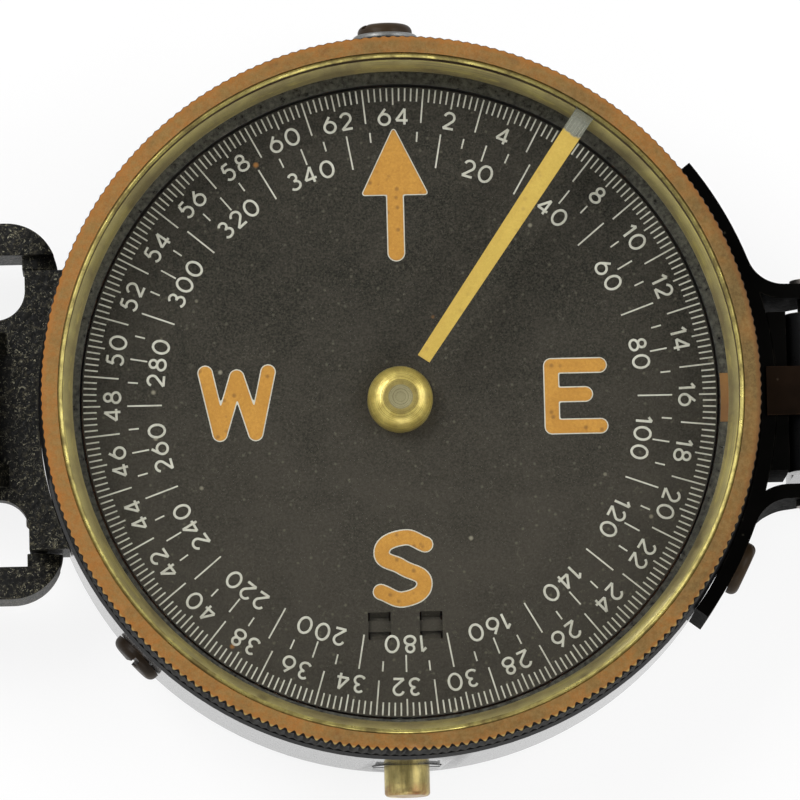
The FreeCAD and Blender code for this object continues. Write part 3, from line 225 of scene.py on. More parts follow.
def newMaterial(name, look, plain):
    # plain holds what is the same all over the surface and stays on the shader's own sockets
    material = bpy.data.materials.new(name)
    material.use_nodes = True
    tree = material.node_tree
    shader = tree.nodes["Principled BSDF"]
    for key, value in plain.items():
        shader.inputs[key].default_value = value
    coords = addNode(tree, "TexCoord").outputs["Object"]
    return material, tree, shader, coords, useMottle(tree, coords, look)


def ramp(tree, value, start, full, low=0.0, high=1.0):
    # a remap between two lengths in millimetres
    return remap(tree, value, start * mm, full * mm, low, high)


def spread(tree, mask, ends):
    return remap(tree, mask, 0.0, 1.0, *ends)


def wire(tree, shader, look, color, mask, height=None, depth=0.01, rougher=0.0):
    # the roughness follows the mask, plus what rougher adds
    rough = mathNode(tree, "ADD", spread(tree, mask, look["roughness"]), rougher)
    tree.links.new(color, shader.inputs["Base Color"])
    tree.links.new(rough, shader.inputs["Roughness"])
    if height is not None:
        inputs = {"Strength": look["bump"], "Distance": depth * mm, "Height": height}
        tree.links.new(addNode(tree, "Bump", None, inputs).outputs["Normal"], shader.inputs["Normal"])


def overlay(tree, color, over, mask, share=1.0):
    # lays a colour over another where the mask is white, as strongly as share says
    if share < 1.0:
        mask = product(tree, mask, share)
    return mixColors(tree, mask, color, over)


def useSpecks(tree, coords, scale, size, amount):
    return useGroup(tree, specks, {"Coords": coords, "Scale": scale, "Size": size, "Amount": amount})["Mask"]


def useScratches(tree, coords, scale, amount):
    return useGroup(tree, scratches, {"Coords": coords, "Scale": scale, "Amount": amount})["Mask"]


def useRimWear(tree, coords, look):
    return useGroup(tree, rimWear, {"Coords": coords, "Width": look["wearWidth"] * mm,
                                    "Patchy Scale": look["patchyScale"]})["Mask"]


def useTurned(tree, coords, ringScale, streakScale):
    return useGroup(tree, turned, {"Coords": coords, "Ring Scale": ringScale, "Streak Scale": streakScale})


def axisOf(tree, coords, axis):
    return addNode(tree, "SeparateXYZ", None, {"Vector": coords}).outputs[axis]


# Finishes. Each look holds colours, texture scales, shares from 0 to 1, and lengths in millimetres.

def metalFinish(name, look):
    material, tree, shader, coords, marks = newMaterial(name, look, {"Metallic": 1.0})
    color = mixColors(tree, marks["Stain"], look["base"], look["stain"])
    color = overlay(tree, color, look["dirt"], marks["Grain"], look["dirtShare"])
    wire(tree, shader, look, color, marks["Stain"], marks["Grain"])
    return material


capLook = {
    "flatEdge": 0.95, "flatBlend": 0.05, "grooveEdge": 1.35, "grooveBlend": 0.1,
    "gold": rgb(0.56, 0.41, 0.09), "goldBright": rgb(0.88, 0.70, 0.20), "groove": rgb(0.20, 0.15, 0.05),
    "flat": rgb(0.34, 0.30, 0.17), "dirt": rgb(0.12, 0.085, 0.04), "ringShare": 0.45, "shadeShare": 0.6,
    "dirtShare": 0.3, "ringScale": 9000.0, "streakScale": 2.2, "stainScale": 900.0, "grainScale": 5000.0,
    "metal": 0.45, "roughness": (0.22, 0.4), "bump": 0.25,
}


def capFinish(look):
    material, tree, shader, coords, marks = newMaterial("capBrass", look, {"Metallic": look["metal"]})
    lathe = useTurned(tree, coords, look["ringScale"], look["streakScale"])
    color = mixColors(tree, lathe["Streaks"], look["gold"], look["goldBright"])
    color = overlay(tree, color, look["groove"], lathe["Rings"], look["ringShare"])
    # painted shade: inside this radius the dome is darkened with the dark colour of the turning grooves
    shaded = ramp(tree, lathe["Radius"], look["grooveEdge"] + look["grooveBlend"], look["grooveEdge"])
    color = overlay(tree, color, look["groove"], shaded, look["shadeShare"])
    # painted reflection: the small flat top is painted grey
    middle = ramp(tree, lathe["Radius"], look["flatEdge"] + look["flatBlend"], look["flatEdge"])
    color = overlay(tree, color, look["flat"], middle)
    color = overlay(tree, color, look["dirt"], marks["Stain"], look["dirtShare"])
    wire(tree, shader, look, color, lathe["Rings"], lathe["Rings"])
    return material


buttonLook = {
    "base": rgb(0.44, 0.345, 0.11), "bright": rgb(0.90, 0.75, 0.30), "olive": rgb(0.20, 0.17, 0.05),
    "red": rgb(0.30, 0.12, 0.04), "dirt": rgb(0.09, 0.05, 0.025), "redFrom": -30.0, "redFull": -31.0,
    "oliveShare": 0.6, "dirtShare": 0.25, "lineScale": (1500.0, 220.0, 1500.0), "stainScale": 650.0,
    "grainScale": 4000.0, "metal": 0.55, "roughness": (0.3, 0.45), "bump": 0.1,
}


def buttonFinish(look):
    material, tree, shader, coords, marks = newMaterial("buttonBrass", look, {"Metallic": look["metal"]})
    drawn = addNode(tree, "Mapping", None, {"Vector": coords, "Scale": look["lineScale"]}).outputs[0]
    lines = remap(tree, noise(tree, drawn, 1.0, detail=4.0, roughness=0.7), 0.4, 0.62)
    color = mixColors(tree, lines, look["base"], look["bright"])
    color = overlay(tree, color, look["olive"], marks["Stain"], look["oliveShare"])
    red = ramp(tree, axisOf(tree, coords, "Y"), look["redFrom"], look["redFull"])
    color = overlay(tree, color, look["red"], product(tree, red, marks["Stain"]))
    color = overlay(tree, color, look["dirt"], marks["Grain"], look["dirtShare"])
    wire(tree, shader, look, color, lines, lines)
    return material


enamelLook = {
    "stainScale": 160.0, "grainScale": 2600.0, "patchyScale": 700.0, "dustScale": 1300.0, "dustSize": 0.18,
    "dustAmount": 0.08, "dustShare": 0.5, "gloss": 0.5, "coatRoughness": 0.08, "bump": 0.08,
}


def enamelFinish(name, look):
    plain = {"Coat Weight": look["coat"], "Coat Roughness": look["coatRoughness"],
             "Specular IOR Level": look["gloss"]}
    material, tree, shader, coords, marks = newMaterial(name, look, plain)
    worn = useRimWear(tree, coords, look)
    dust = useSpecks(tree, coords, look["dustScale"], look["dustSize"], look["dustAmount"])
    color = mixColors(tree, marks["Stain"], look["base"], look["second"])
    color = overlay(tree, color, look["dust"], dust, look["dustShare"])
    color = overlay(tree, color, look["worn"], worn, look["wear"])
    if "ledge" in look:
        # the ledge round the dial is matt, like the dial itself
        radius = useGroup(tree, turned, {"Coords": coords})["Radius"]
        inside = mathNode(tree, "LESS_THAN", radius, look["ledgeEdge"] * mm)
        above = mathNode(tree, "GREATER_THAN", axisOf(tree, coords, "Z"), look["ledgeFrom"] * mm)
        matt = mixColors(tree, marks["Grain"], look["base"], look["ledge"])
        color = overlay(tree, color, matt, product(tree, inside, above))
    wire(tree, shader, look, color, marks["Grain"], marks["Grain"])
    return material


crinkleLook = {
    "base": rgb(0.003, 0.003, 0.0026), "crest": rgb(0.018, 0.016, 0.012), "fleck": rgb(0.10, 0.089, 0.056),
    "glintAndLint": rgb(0.52, 0.49, 0.34), "worn": rgb(0.11, 0.10, 0.07), "crestShare": 0.6, "fibreShare": 0.4,
    "wornShare": 0.3, "scale": 2600.0, "fleckScale": 3000.0, "glintScale": 4400.0, "stainScale": 420.0,
    "grainScale": 6500.0, "fibreScale": 1500.0, "fibreAmount": 0.2, "wearWidth": 0.4, "patchyScale": 500.0,
    "gloss": 0.22, "roughness": (0.35, 0.7), "bump": 0.7, "bumpDepth": 0.06,
}


def crinkleFinish(look):
    plain = {"Specular IOR Level": look["gloss"]}
    material, tree, shader, coords, marks = newMaterial("crinkleEnamel", look, plain)
    skin = useGroup(tree, crinkle, {"Coords": coords, "Scale": look["scale"]})
    fibres = useScratches(tree, coords, look["fibreScale"], look["fibreAmount"])
    worn = useRimWear(tree, coords, look)
    color = overlay(tree, look["base"], look["crest"], skin["Crest"], look["crestShare"])
    # ragged flecks where the paint is rubbed, thicker in some patches
    patchy = remap(tree, marks["Stain"], 0.1, 0.9, 0.3, 1.0)
    flecks = remap(tree, noise(tree, coords, look["fleckScale"], detail=3.0, roughness=0.75), 0.54, 0.66)
    color = overlay(tree, color, look["fleck"], product(tree, flecks, patchy))
    # painted glints: pale points standing in for highlights on the crinkle's bumps, thicker in some patches;
    # the same pale colour also draws lint fibres
    glints = remap(tree, noise(tree, coords, look["glintScale"], detail=2.0, roughness=0.8), 0.64, 0.72)
    color = overlay(tree, color, look["glintAndLint"], product(tree, glints, patchy))
    color = overlay(tree, color, look["glintAndLint"], fibres, look["fibreShare"])
    color = overlay(tree, color, look["worn"], worn, look["wornShare"])
    wire(tree, shader, look, color, marks["Grain"], skin["Height"], look["bumpDepth"])
    return material


bezelLook = {
    "rimEdge": 28.38, "rimWidth": 0.1, "rimBlend": 0.4, "rimShare": 0.6, "rimWarm": rgb(0.40, 0.14, 0.022),
    "lacquer": rgb(0.30, 0.165, 0.044), "lacquerWarm": rgb(0.39, 0.156, 0.030),
    "lacquerDullAndShade": rgb(0.145, 0.094, 0.030), "dullShare": 0.6, "spots": (520.0, 0.32, 0.22),
    "lacquerSpot": rgb(0.12, 0.06, 0.02), "spotShare": 0.35, "lacquerGrain": rgb(0.11, 0.06, 0.022),
    "grainShare": 0.42, "blotch": rgb(0.32, 0.215, 0.085), "blotchScale": 2700.0, "blotchShare": 0.38,
    "eastFrom": 20.0, "eastFull": 28.0, "eastShare": 0.6, "eastRimDark": 0.75, "westFrom": -4.0,
    "westFull": -27.0, "westShare": 0.35, "southFrom": -6.0, "southFull": -24.0,
    "tip": rgb(0.42, 0.33, 0.12), "tipWidth": 0.14, "tipShare": 0.75, "teeth": 240, "notchShadeNorth": 0.10,
    "notchShadeSouth": 0.3, "notchShadeBlend": 0.04, "grooveDirt": rgb(0.003, 0.0025, 0.002), "grooveShare": 0.9,
    "glassEdge": 27.1, "glassBlend": 0.05, "bevelFoot": 26.2, "bevelShaded": 26.8, "footShadeShare": 0.55,
    "underGlass": rgb(0.56, 0.475, 0.20), "underHighlight": rgb(0.90, 0.76, 0.24),
    "underStain": rgb(0.36, 0.30, 0.145), "dirt": rgb(0.07, 0.045, 0.022), "bevelSpotShare": 0.5,
    "bevelRingShare": 0.2, "wall": rgb(0.007, 0.006, 0.0035), "wallFrom": 0.05, "wallFull": 0.16,
    "fineRings": 5200.0, "fineStreaks": 16.0, "broadRings": 900.0, "broadStreaks": 3.2,
    "stainScale": 330.0, "grainScale": 4200.0, "patina": {"stainScale": 1100.0, "grainScale": 8000.0},
    "coat": 0.12, "coatRoughness": 0.3, "gloss": 0.25, "metal": (0.3, 0.5), "roughness": (0.36, 0.56),
    "wallRoughness": 0.35, "bump": 0.15,
}


def bezelTop(tree, look, given):
    # warm lacquer, duller towards the lid and brighter away from it: painted shade on the lid's side and
    # painted light on the far side, over real dull stains
    color = mixColors(tree, given["patina"]["Stain"], look["lacquerWarm"], look["lacquer"])
    east = ramp(tree, given["x"], look["eastFrom"], look["eastFull"], 0.0, look["eastShare"])
    west = ramp(tree, given["x"], look["westFrom"], look["westFull"], 0.0, look["westShare"])
    paintedLightAndShade = mathNode(tree, "SUBTRACT", east, west)
    dullAndShade = mathNode(tree, "ADD", product(tree, given["marks"]["Stain"], look["dullShare"]), paintedLightAndShade, clamp=True)
    color = overlay(tree, color, look["lacquerDullAndShade"], dullAndShade)
    color = overlay(tree, color, look["lacquerSpot"], given["spots"], look["spotShare"])
    color = overlay(tree, color, look["lacquerGrain"], given["patina"]["Grain"], look["grainShare"])
    blotches = noise(tree, given["coords"], look["blotchScale"], detail=4.0, roughness=0.75)
    color = overlay(tree, color, look["blotch"], remap(tree, blotches, 0.42, 0.62, 0.0, look["blotchShare"]))
    rim = ramp(tree, given["radius"], look["rimEdge"] - look["rimBlend"], look["rimEdge"])
    color = overlay(tree, color, look["rimWarm"], rim, look["rimShare"])
    # the outer rim is darker on the lid's side
    eastRimDarkening = ramp(tree, given["x"], look["eastFrom"], look["eastFull"], 0.0, look["eastRimDark"])
    return overlay(tree, color, look["dirt"], product(tree, rim, eastRimDarkening))


def bezelGrooveShade(tree, look, given, color):
    # painted shade: the dark of the knurl's grooves is painted a little into the top face, furthest on the
    # button's side, where the outermost edge is also a lighter brass
    south = ramp(tree, given["y"], look["southFrom"], look["southFull"])
    tip = ramp(tree, given["radius"], look["rimEdge"] - look["tipWidth"], look["rimEdge"])
    color = overlay(tree, color, look["tip"], product(tree, tip, south), look["tipShare"])
    around = product(tree, mathNode(tree, "ARCTAN2", given["y"], given["x"]), look["teeth"])
    groove = product(tree, mathNode(tree, "SUBTRACT", 1.0, mathNode(tree, "COSINE", around)), 0.5)
    reach = spread(tree, south, (look["notchShadeNorth"] * mm, look["notchShadeSouth"] * mm))
    outermost = (look["rimEdge"] + look["rimWidth"] / 2) * mm
    shadeStart = mathNode(tree, "SUBTRACT", outermost, product(tree, groove, reach))
    past = mathNode(tree, "SUBTRACT", given["radius"], shadeStart)
    return overlay(tree, color, look["grooveDirt"], ramp(tree, past, 0.0, look["notchShadeBlend"]))


def bezelBevel(tree, look, given):
    # bare brass under the glass, with stains, painted highlight streaks, and painted shade darkening its foot
    color = mixColors(tree, given["marks"]["Stain"], look["underGlass"], look["underStain"])
    streaks = remap(tree, given["broad"]["Streaks"], 0.42, 0.75)
    lit = product(tree, streaks, remap(tree, given["rings"], 0.35, 0.75))
    color = overlay(tree, color, look["underHighlight"], lit)
    footShade = ramp(tree, given["radius"], look["bevelShaded"], look["bevelFoot"], 0.0, look["footShadeShare"])
    color = overlay(tree, color, look["dirt"], footShade)
    color = overlay(tree, color, look["dirt"], given["spots"], look["bevelSpotShare"])
    return overlay(tree, color, look["dirt"], given["rings"], look["bevelRingShare"])


def bezelFinish(look):
    plain = {"Coat Roughness": look["coatRoughness"], "Specular IOR Level": look["gloss"]}
    material, tree, shader, coords, marks = newMaterial("lacqueredBrass", look, plain)
    lathe = useTurned(tree, coords, look["fineRings"], look["fineStreaks"])
    x, y, height = addNode(tree, "SeparateXYZ", None, {"Vector": coords}).outputs
    given = {
        "coords": coords, "x": x, "y": y, "radius": lathe["Radius"], "rings": lathe["Rings"],
        "broad": useTurned(tree, coords, look["broadRings"], look["broadStreaks"]),
        "marks": marks, "patina": useMottle(tree, coords, look["patina"]),
        "spots": useSpecks(tree, coords, *look["spots"]),
    }
    top = bezelGrooveShade(tree, look, given, bezelTop(tree, look, given))
    seen = ramp(tree, given["radius"], look["glassEdge"], look["glassEdge"] + look["glassBlend"])
    color = overlay(tree, bezelBevel(tree, look, given), top, seen)

    # knurled wall: dark, and darkest in the grooves, where painted shade is laid over the dark paint
    below = ramp(tree, height, windowTop / mm - look["wallFrom"], windowTop / mm - look["wallFull"])
    wall = product(tree, below, seen)
    color = overlay(tree, color, look["wall"], wall)
    grooveBottomShade = ramp(tree, given["radius"], look["rimEdge"] + look["rimWidth"], look["rimEdge"])
    color = overlay(tree, color, look["grooveDirt"], product(tree, grooveBottomShade, wall), look["grooveShare"])
    face = mathNode(tree, "SUBTRACT", 1.0, wall)
    metal = product(tree, spread(tree, lathe["Streaks"], look["metal"]), face)
    tree.links.new(metal, shader.inputs["Metallic"])
    tree.links.new(product(tree, face, look["coat"]), shader.inputs["Coat Weight"])
    grain = given["patina"]["Grain"]
    wire(tree, shader, look, color, grain, grain, rougher=product(tree, wall, look["wallRoughness"]))
    return material


dialLook = {
    "base": rgb(0.004, 0.0034, 0.0026), "light": rgb(0.066, 0.059, 0.046), "haze": rgb(0.066, 0.057, 0.047),
    "dust": rgb(0.17, 0.155, 0.12), "fleck": rgb(0.34, 0.31, 0.24), "rust": rgb(0.32, 0.14, 0.04),
    "hazeFrom": 11.0, "hazeFull": -14.0, "southHaze": 0.4, "patchyHaze": 0.25, "grainShare": 0.45,
    "lintShare": 0.2, "fineShare": 0.35, "bigShare": 0.75, "stainScale": 170.0, "grainScale": 3800.0,
    "gritScale": 6500.0, "fineSpecks": (1900.0, 0.3, 0.16), "bigSpecks": (560.0, 0.14, 0.13),
    "rustSpecks": (360.0, 0.1, 0.05), "lint": (800.0, 0.17), "gloss": 0.1, "roughness": (0.5, 0.72),
    "bump": 0.2,
}


def dialFinish(look):
    plain = {"Specular IOR Level": look["gloss"]}
    material, tree, shader, coords, marks = newMaterial("dialBlack", look, plain)
    grit = remap(tree, noise(tree, coords, look["gritScale"], detail=3.0, roughness=0.75), 0.36, 0.66)
    color = mixColors(tree, grit, look["base"], look["light"])
    color = overlay(tree, color, look["base"], marks["Grain"], look["grainShare"])
    # an older haze, thicker towards the button
    south = ramp(tree, axisOf(tree, coords, "Y"), look["hazeFrom"], look["hazeFull"], 0.0, look["southHaze"])
    hazy = mathNode(tree, "ADD", south, product(tree, marks["Stain"], look["patchyHaze"]))
    color = overlay(tree, color, look["haze"], hazy)
    lint = useScratches(tree, coords, *look["lint"])
    fine = useSpecks(tree, coords, *look["fineSpecks"])
    big = useSpecks(tree, coords, *look["bigSpecks"])
    rusty = useSpecks(tree, coords, *look["rustSpecks"])
    color = overlay(tree, color, look["dust"], lint, look["lintShare"])
    color = overlay(tree, color, look["dust"], fine, look["fineShare"])
    color = overlay(tree, color, look["fleck"], big, look["bigShare"])
    color = overlay(tree, color, look["rust"], rusty)
    wire(tree, shader, look, color, marks["Grain"], grit)
    return material


paintLook = {
    "stainScale": 420.0, "grainScale": 4200.0, "pits": (1500.0, 0.34, 0.3), "blots": (620.0, 0.17, 0.12),
    "grainShare": 0.6, "pitShare": 0.6, "blotShare": 0.35, "gloss": 0.3, "roughness": (0.6, 0.85),
    "bump": 0.35, "bumpDepth": 0.02,
}


def luminousFinish(name, look):
    material, tree, shader, coords, marks = newMaterial(name, look, {"Specular IOR Level": look["gloss"]})
    color = mixColors(tree, marks["Stain"], look["base"], look["second"])
    color = overlay(tree, color, look["grain"], marks["Grain"], look["grainShare"])
    color = overlay(tree, color, look["pit"], useSpecks(tree, coords, *look["pits"]), look["pitShare"])
    color = overlay(tree, color, look["pit"], useSpecks(tree, coords, *look["blots"]), look["blotShare"])
    if "wornFrom" in look:
        # past this radius only a grey film is left on the glass
        radius = useGroup(tree, turned, {"Coords": coords})["Radius"]
        ragged = mathNode(tree, "ADD", radius, product(tree, marks["Stain"], look["ragged"] * mm))
        gone = ramp(tree, ragged, look["wornFrom"], look["wornFrom"] + look["wornBlend"])
        color = overlay(tree, color, look["film"], gone)
        film = product(tree, gone, spread(tree, marks["Grain"], look["filmClear"]))
        tree.links.new(mathNode(tree, "SUBTRACT", 1.0, film), shader.inputs["Alpha"])
    wire(tree, shader, look, color, marks["Grain"], marks["Grain"], look["bumpDepth"])
    return material


printLook = {"base": rgb(0.62, 0.60, 0.54), "worn": rgb(0.30, 0.28, 0.23), "wornShare": 0.7, "gloss": 0.3,
             "stainScale": 500.0, "grainScale": 5200.0, "roughness": (0.5, 0.75)}


def printFinish(look):
    plain = {"Specular IOR Level": look["gloss"]}
    material, tree, shader, coords, marks = newMaterial("printWhite", look, plain)
    fade = product(tree, marks["Grain"], product(tree, marks["Stain"], look["wornShare"]))
    color = overlay(tree, look["base"], look["worn"], fade)
    wire(tree, shader, look, color, marks["Grain"])
    return material


glassLook = {"index": 1.28, "stainScale": 120.0, "grainScale": 2400.0, "roughness": (0.0, 0.02)}


def glassFinish(name, tint):
    # light for what lies under the glass passes straight through it
    look = glassLook
    plain = {"Transmission Weight": 1.0, "IOR": look["index"], "Base Color": tint, "Metallic": 0.0}
    material, tree, shader, coords, marks = newMaterial(name, look, plain)
    tree.links.new(spread(tree, marks["Stain"], look["roughness"]), shader.inputs["Roughness"])
    rays = addNode(tree, "LightPath").outputs
    passing = mathNode(tree, "MAXIMUM", rays["Is Shadow Ray"], rays["Is Diffuse Ray"])
    clear = addNode(tree, "BsdfTransparent", None, {"Color": tint})
    mixed = addNode(tree, "MixShader", None, {0: passing, 1: shader.outputs[0], 2: clear.outputs[0]})
    tree.links.new(mixed.outputs[0], tree.nodes["Material Output"].inputs["Surface"])
    return material


brassLook = {"base": rgb(0.60, 0.44, 0.16), "stain": rgb(0.44, 0.30, 0.10), "dirt": rgb(0.22, 0.14, 0.06),
             "dirtShare": 0.35, "stainScale": 300.0, "grainScale": 3000.0, "roughness": (0.18, 0.38),
             "bump": 0.15}


def metal(name, **changes):
    return metalFinish(name, dict(brassLook, **changes))


def enamel(name, **changes):
    return enamelFinish(name, dict(enamelLook, **changes))


finishes = {
    "black_enamel": enamel(
        "blackEnamel", base=rgb(0.006, 0.006, 0.007), second=rgb(0.009, 0.009, 0.009),
        dust=rgb(0.09, 0.08, 0.065), worn=rgb(0.16, 0.13, 0.09), wear=0.4, wearWidth=0.15, coat=0.75,
        gloss=0.15, roughness=(0.25, 0.42), ledge=rgb(0.11, 0.106, 0.092), ledgeEdge=26.9, ledgeFrom=10.0),
    "dark_screw": enamel(
        "darkLacquer", base=rgb(0.043, 0.026, 0.012), second=rgb(0.018, 0.011, 0.006),
        dust=rgb(0.14, 0.11, 0.07), worn=rgb(0.11, 0.065, 0.034), wear=0.5, wearWidth=0.12, coat=0.03,
        gloss=0.12, roughness=(0.4, 0.6)),
    "index_paint": enamel(
        "indexPaint", base=rgb(0.31, 0.145, 0.034), second=rgb(0.20, 0.085, 0.022),
        dust=rgb(0.05, 0.03, 0.02), worn=rgb(0.18, 0.1, 0.05), wear=0.4, wearWidth=0.05, coat=0.1,
        roughness=(0.5, 0.7)),
    "gasket": enamel(
        "gasketBrown", base=rgb(0.13, 0.095, 0.035), second=rgb(0.07, 0.04, 0.018), dust=rgb(0.2, 0.17, 0.08),
        worn=rgb(0.12, 0.09, 0.04), wear=0.2, wearWidth=0.05, coat=0.0, roughness=(0.7, 0.9)),
    "crinkle_enamel": crinkleFinish(crinkleLook),
    "aged_brass": metal("agedBrass", base=rgb(0.46, 0.33, 0.12), stain=rgb(0.33, 0.20, 0.07),
                        roughness=(0.28, 0.46)),
    "bright_brass": metal("brightBrass"),
    "copper": metal("copperBowl", base=rgb(0.55, 0.26, 0.15), stain=rgb(0.38, 0.17, 0.1)),
    "spring_steel": metal("springSteel", base=rgb(0.44, 0.43, 0.42), stain=rgb(0.32, 0.30, 0.28),
                          dirt=rgb(0.12, 0.1, 0.08), roughness=(0.22, 0.4)),
    "pin_steel": metal("pinSteel", base=rgb(0.36, 0.35, 0.34), stain=rgb(0.24, 0.22, 0.2),
                       dirt=rgb(0.1, 0.08, 0.06), roughness=(0.28, 0.48)),
    "washer_steel": metal("washerSteel", base=rgb(0.30, 0.31, 0.31), stain=rgb(0.2, 0.2, 0.19),
                          dirt=rgb(0.08, 0.07, 0.06), roughness=(0.35, 0.55)),
    "magnet_steel": metal("magnetSteel", base=rgb(0.13, 0.14, 0.17), stain=rgb(0.09, 0.09, 0.11),
                          dirt=rgb(0.04, 0.04, 0.04), roughness=(0.3, 0.5)),
    "dial_black": dialFinish(dialLook),
    "luminous_paint": luminousFinish("luminousPaint", dict(
        paintLook, base=rgb(0.60, 0.295, 0.052), second=rgb(0.50, 0.235, 0.038),
        grain=rgb(0.38, 0.175, 0.032), pit=rgb(0.16, 0.065, 0.018))),
    "glass": glassFinish("windowGlass", rgb(0.97, 0.98, 0.96)),
    "lens_glass": glassFinish("lensGlass", rgb(0.95, 0.97, 0.97)),
    "jewel": glassFinish("jewelStone", rgb(0.6, 0.06, 0.12)),
}
printMaterial = printFinish(printLook)

# finishes of single pieces that differ from their slot's own
satinBlack = enamel(
    "satinBlack", base=rgb(0.0012, 0.0012, 0.001), second=rgb(0.0026, 0.0024, 0.0021),
    dust=rgb(0.06, 0.055, 0.04), worn=rgb(0.05, 0.045, 0.035), wear=0.3, wearWidth=0.12, coat=0.0,
    gloss=0.012, roughness=(0.5, 0.75))
ownFinish = {
    "bezel_ring": bezelFinish(bezelLook),
    "luminous_line": luminousFinish("lineOnGlass", dict(
        paintLook, base=rgb(0.62, 0.425, 0.092), second=rgb(0.57, 0.385, 0.08), grain=rgb(0.50, 0.335, 0.07),
        pit=rgb(0.44, 0.29, 0.07), film=rgb(0.27, 0.27, 0.225), filmClear=(0.45, 0.72), wornFrom=25.1,
        wornBlend=0.15, ragged=0.5)),
    "hinge_bracket": satinBlack,
    "hinge_block": satinBlack,
    "bracket_rivets": satinBlack,
    "lid_friction_leaf": enamel(
        "leafBronze", base=rgb(0.005, 0.0028, 0.0015), second=rgb(0.012, 0.0065, 0.0035),
        dust=rgb(0.08, 0.06, 0.04), worn=rgb(0.10, 0.05, 0.025), wear=0.4, wearWidth=0.1, coat=0.0,
        gloss=0.03, roughness=(0.35, 0.55)),
    "dial_cap": capFinish(capLook),
    "plunger": buttonFinish(buttonLook),
    "crystal_retainer": metal("retainerBrass", base=rgb(0.60, 0.52, 0.17), stain=rgb(0.20, 0.16, 0.06),
                              dirt=rgb(0.10, 0.07, 0.03), stainScale=520.0, grainScale=3600.0,
                              roughness=(0.25, 0.5)),
    "balance_weight": finishes["dial_black"],
    "plunger_bush": finishes["black_enamel"],
}
slotOf = {entry["node"]: entry["material_slot"] for entry in frame["record"]["subparts"]}
bodyOf = {node: body for body, members in frame["record"]["behaviour"]["bodies"].items() for node in members}
print("materials built:", len(bpy.data.materials))


def finishOf(node):
    return ownFinish[node] if node in ownFinish else finishes[slotOf[node]]


for name, piece in nodes.items():
    piece.data.materials.clear()
    piece.data.materials.append(finishOf(name))


# Pieces dressed from a merged copy of their solid: smooth walls, softened edges

def plainObject(name, shape, material):
    mesh = bpy.data.meshes.new(name)
    shape.to_mesh(mesh)
    shape.free()
    mesh.materials.append(material)
    piece = bpy.data.objects.new(name, mesh)
    bpy.context.scene.collection.objects.link(piece)
    return piece


def toObject(name, shape, material, body):
    piece = plainObject(name, shape, material)
    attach(piece, body)
    return piece


# angles in degrees
dressLook = {"merge": 0.0005, "flatAngle": 0.4, "sharpAngle": 32, "bevelAngle": 34, "segments": 3}


def dressCopy(node, name, edge):
    look = dressLook
    shape = bmesh.new()
    shape.from_mesh(nodes[node].data)
    bmesh.ops.remove_doubles(shape, verts=shape.verts, dist=look["merge"] * mm)
    flat = math.radians(look["flatAngle"])
    bmesh.ops.dissolve_limit(shape, angle_limit=flat, verts=shape.verts, edges=shape.edges)
    piece = toObject(name, shape, finishOf(node), bodyOf[node])
    piece.data.shade_smooth()
    piece.data.set_sharp_from_angle(angle=math.radians(look["sharpAngle"]))
    if edge > 0:
        soften = piece.modifiers.new("softEdges", "BEVEL")
        soften.width = edge * mm
        soften.segments = look["segments"]
        soften.limit_method = "ANGLE"
        soften.angle_limit = math.radians(look["bevelAngle"])
        soften.harden_normals = True
    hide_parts(node)
    return piece


# the name of each copy, and how wide its edges are softened
dressed = {
    "case_body": ("caseShell", 0.06),
    "bezel_ring": ("windowRing", 0.0),
    "crystal_retainer": ("glassRetainer", 0.04),
    "dial_cap": ("dialCap", 0.0),
    "plunger": ("pushButton", 0.0),
    "plunger_bush": ("buttonBush", 0.05),
    "case_screws": ("domeScrews", 0.06),
    "case_screw_washers": ("screwWashers", 0.06),
    "hinge_bracket": ("hingeStrap", 0.12),
    "bracket_rivets": ("strapRivets", 0.05),
    "hinge_block": ("hingeBlock", 0.08),
    "hinge_block_screws": ("blockScrews", 0.03),
    "lid_friction_leaf": ("frictionLeaf", 0.03),
    "lid_hinge_pin": ("lidPin", 0.08),
    "lid_hinge": ("lidKnuckle", 0.12),
    "lid_hinge_rivets": ("lidRivets", 0.05),
    "lid_shell": ("lidShell", 0.1),
    "wire_screws": ("wireScrews", 0.05),
    "rear_bracket": ("rearBracket", 0.15),
    "rear_bracket_rivets": ("rearRivets", 0.05),
    "eyepiece_bracket": ("eyepieceArm", 0.2),
    "lens_ring": ("lensRing", 0.04),
    "eyepiece_lens": ("eyepieceLens", 0.0),
    "thumb_ring": ("thumbLoop", 0.45),
    "crystal": ("windowGlass", 0.0),
}
for node, (name, edge) in dressed.items():
    dressCopy(node, name, edge)

# the lifter's spring gets a mesh of its own; on the real compass it is held at its top and shortens as the
# lifter rises
spring = dressCopy("lifter_spring", "lifterCoil", 0.0)
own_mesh(spring)
print("dressed pieces:", len(dressed) + 1)


# Printing on the dial. Bearings run clockwise from north, radii from the pivot, both as on the real card.

divisions = {
    "outerEnd": 25.2, "outerCount": 320, "shortTick": 1.05, "hundredTick": 1.35, "oddHundredTick": 2.75,
    "innerEnd": 21.7, "innerCount": 72, "fiveTick": 0.8, "tenTick": 1.35, "oddTenTick": 2.75,
    "width": 0.12, "thickness": 0.02,
}


def addTick(shape, bearing, outer, length, look):
    placed = (Matrix.Rotation(-bearing, 4, "Z") @ Matrix.Translation((0, outer - length / 2, cardTop / mm))
              @ Matrix.Diagonal((look["width"], length, look["thickness"], 1)))
    bmesh.ops.create_cube(shape, size=1.0, matrix=placed)


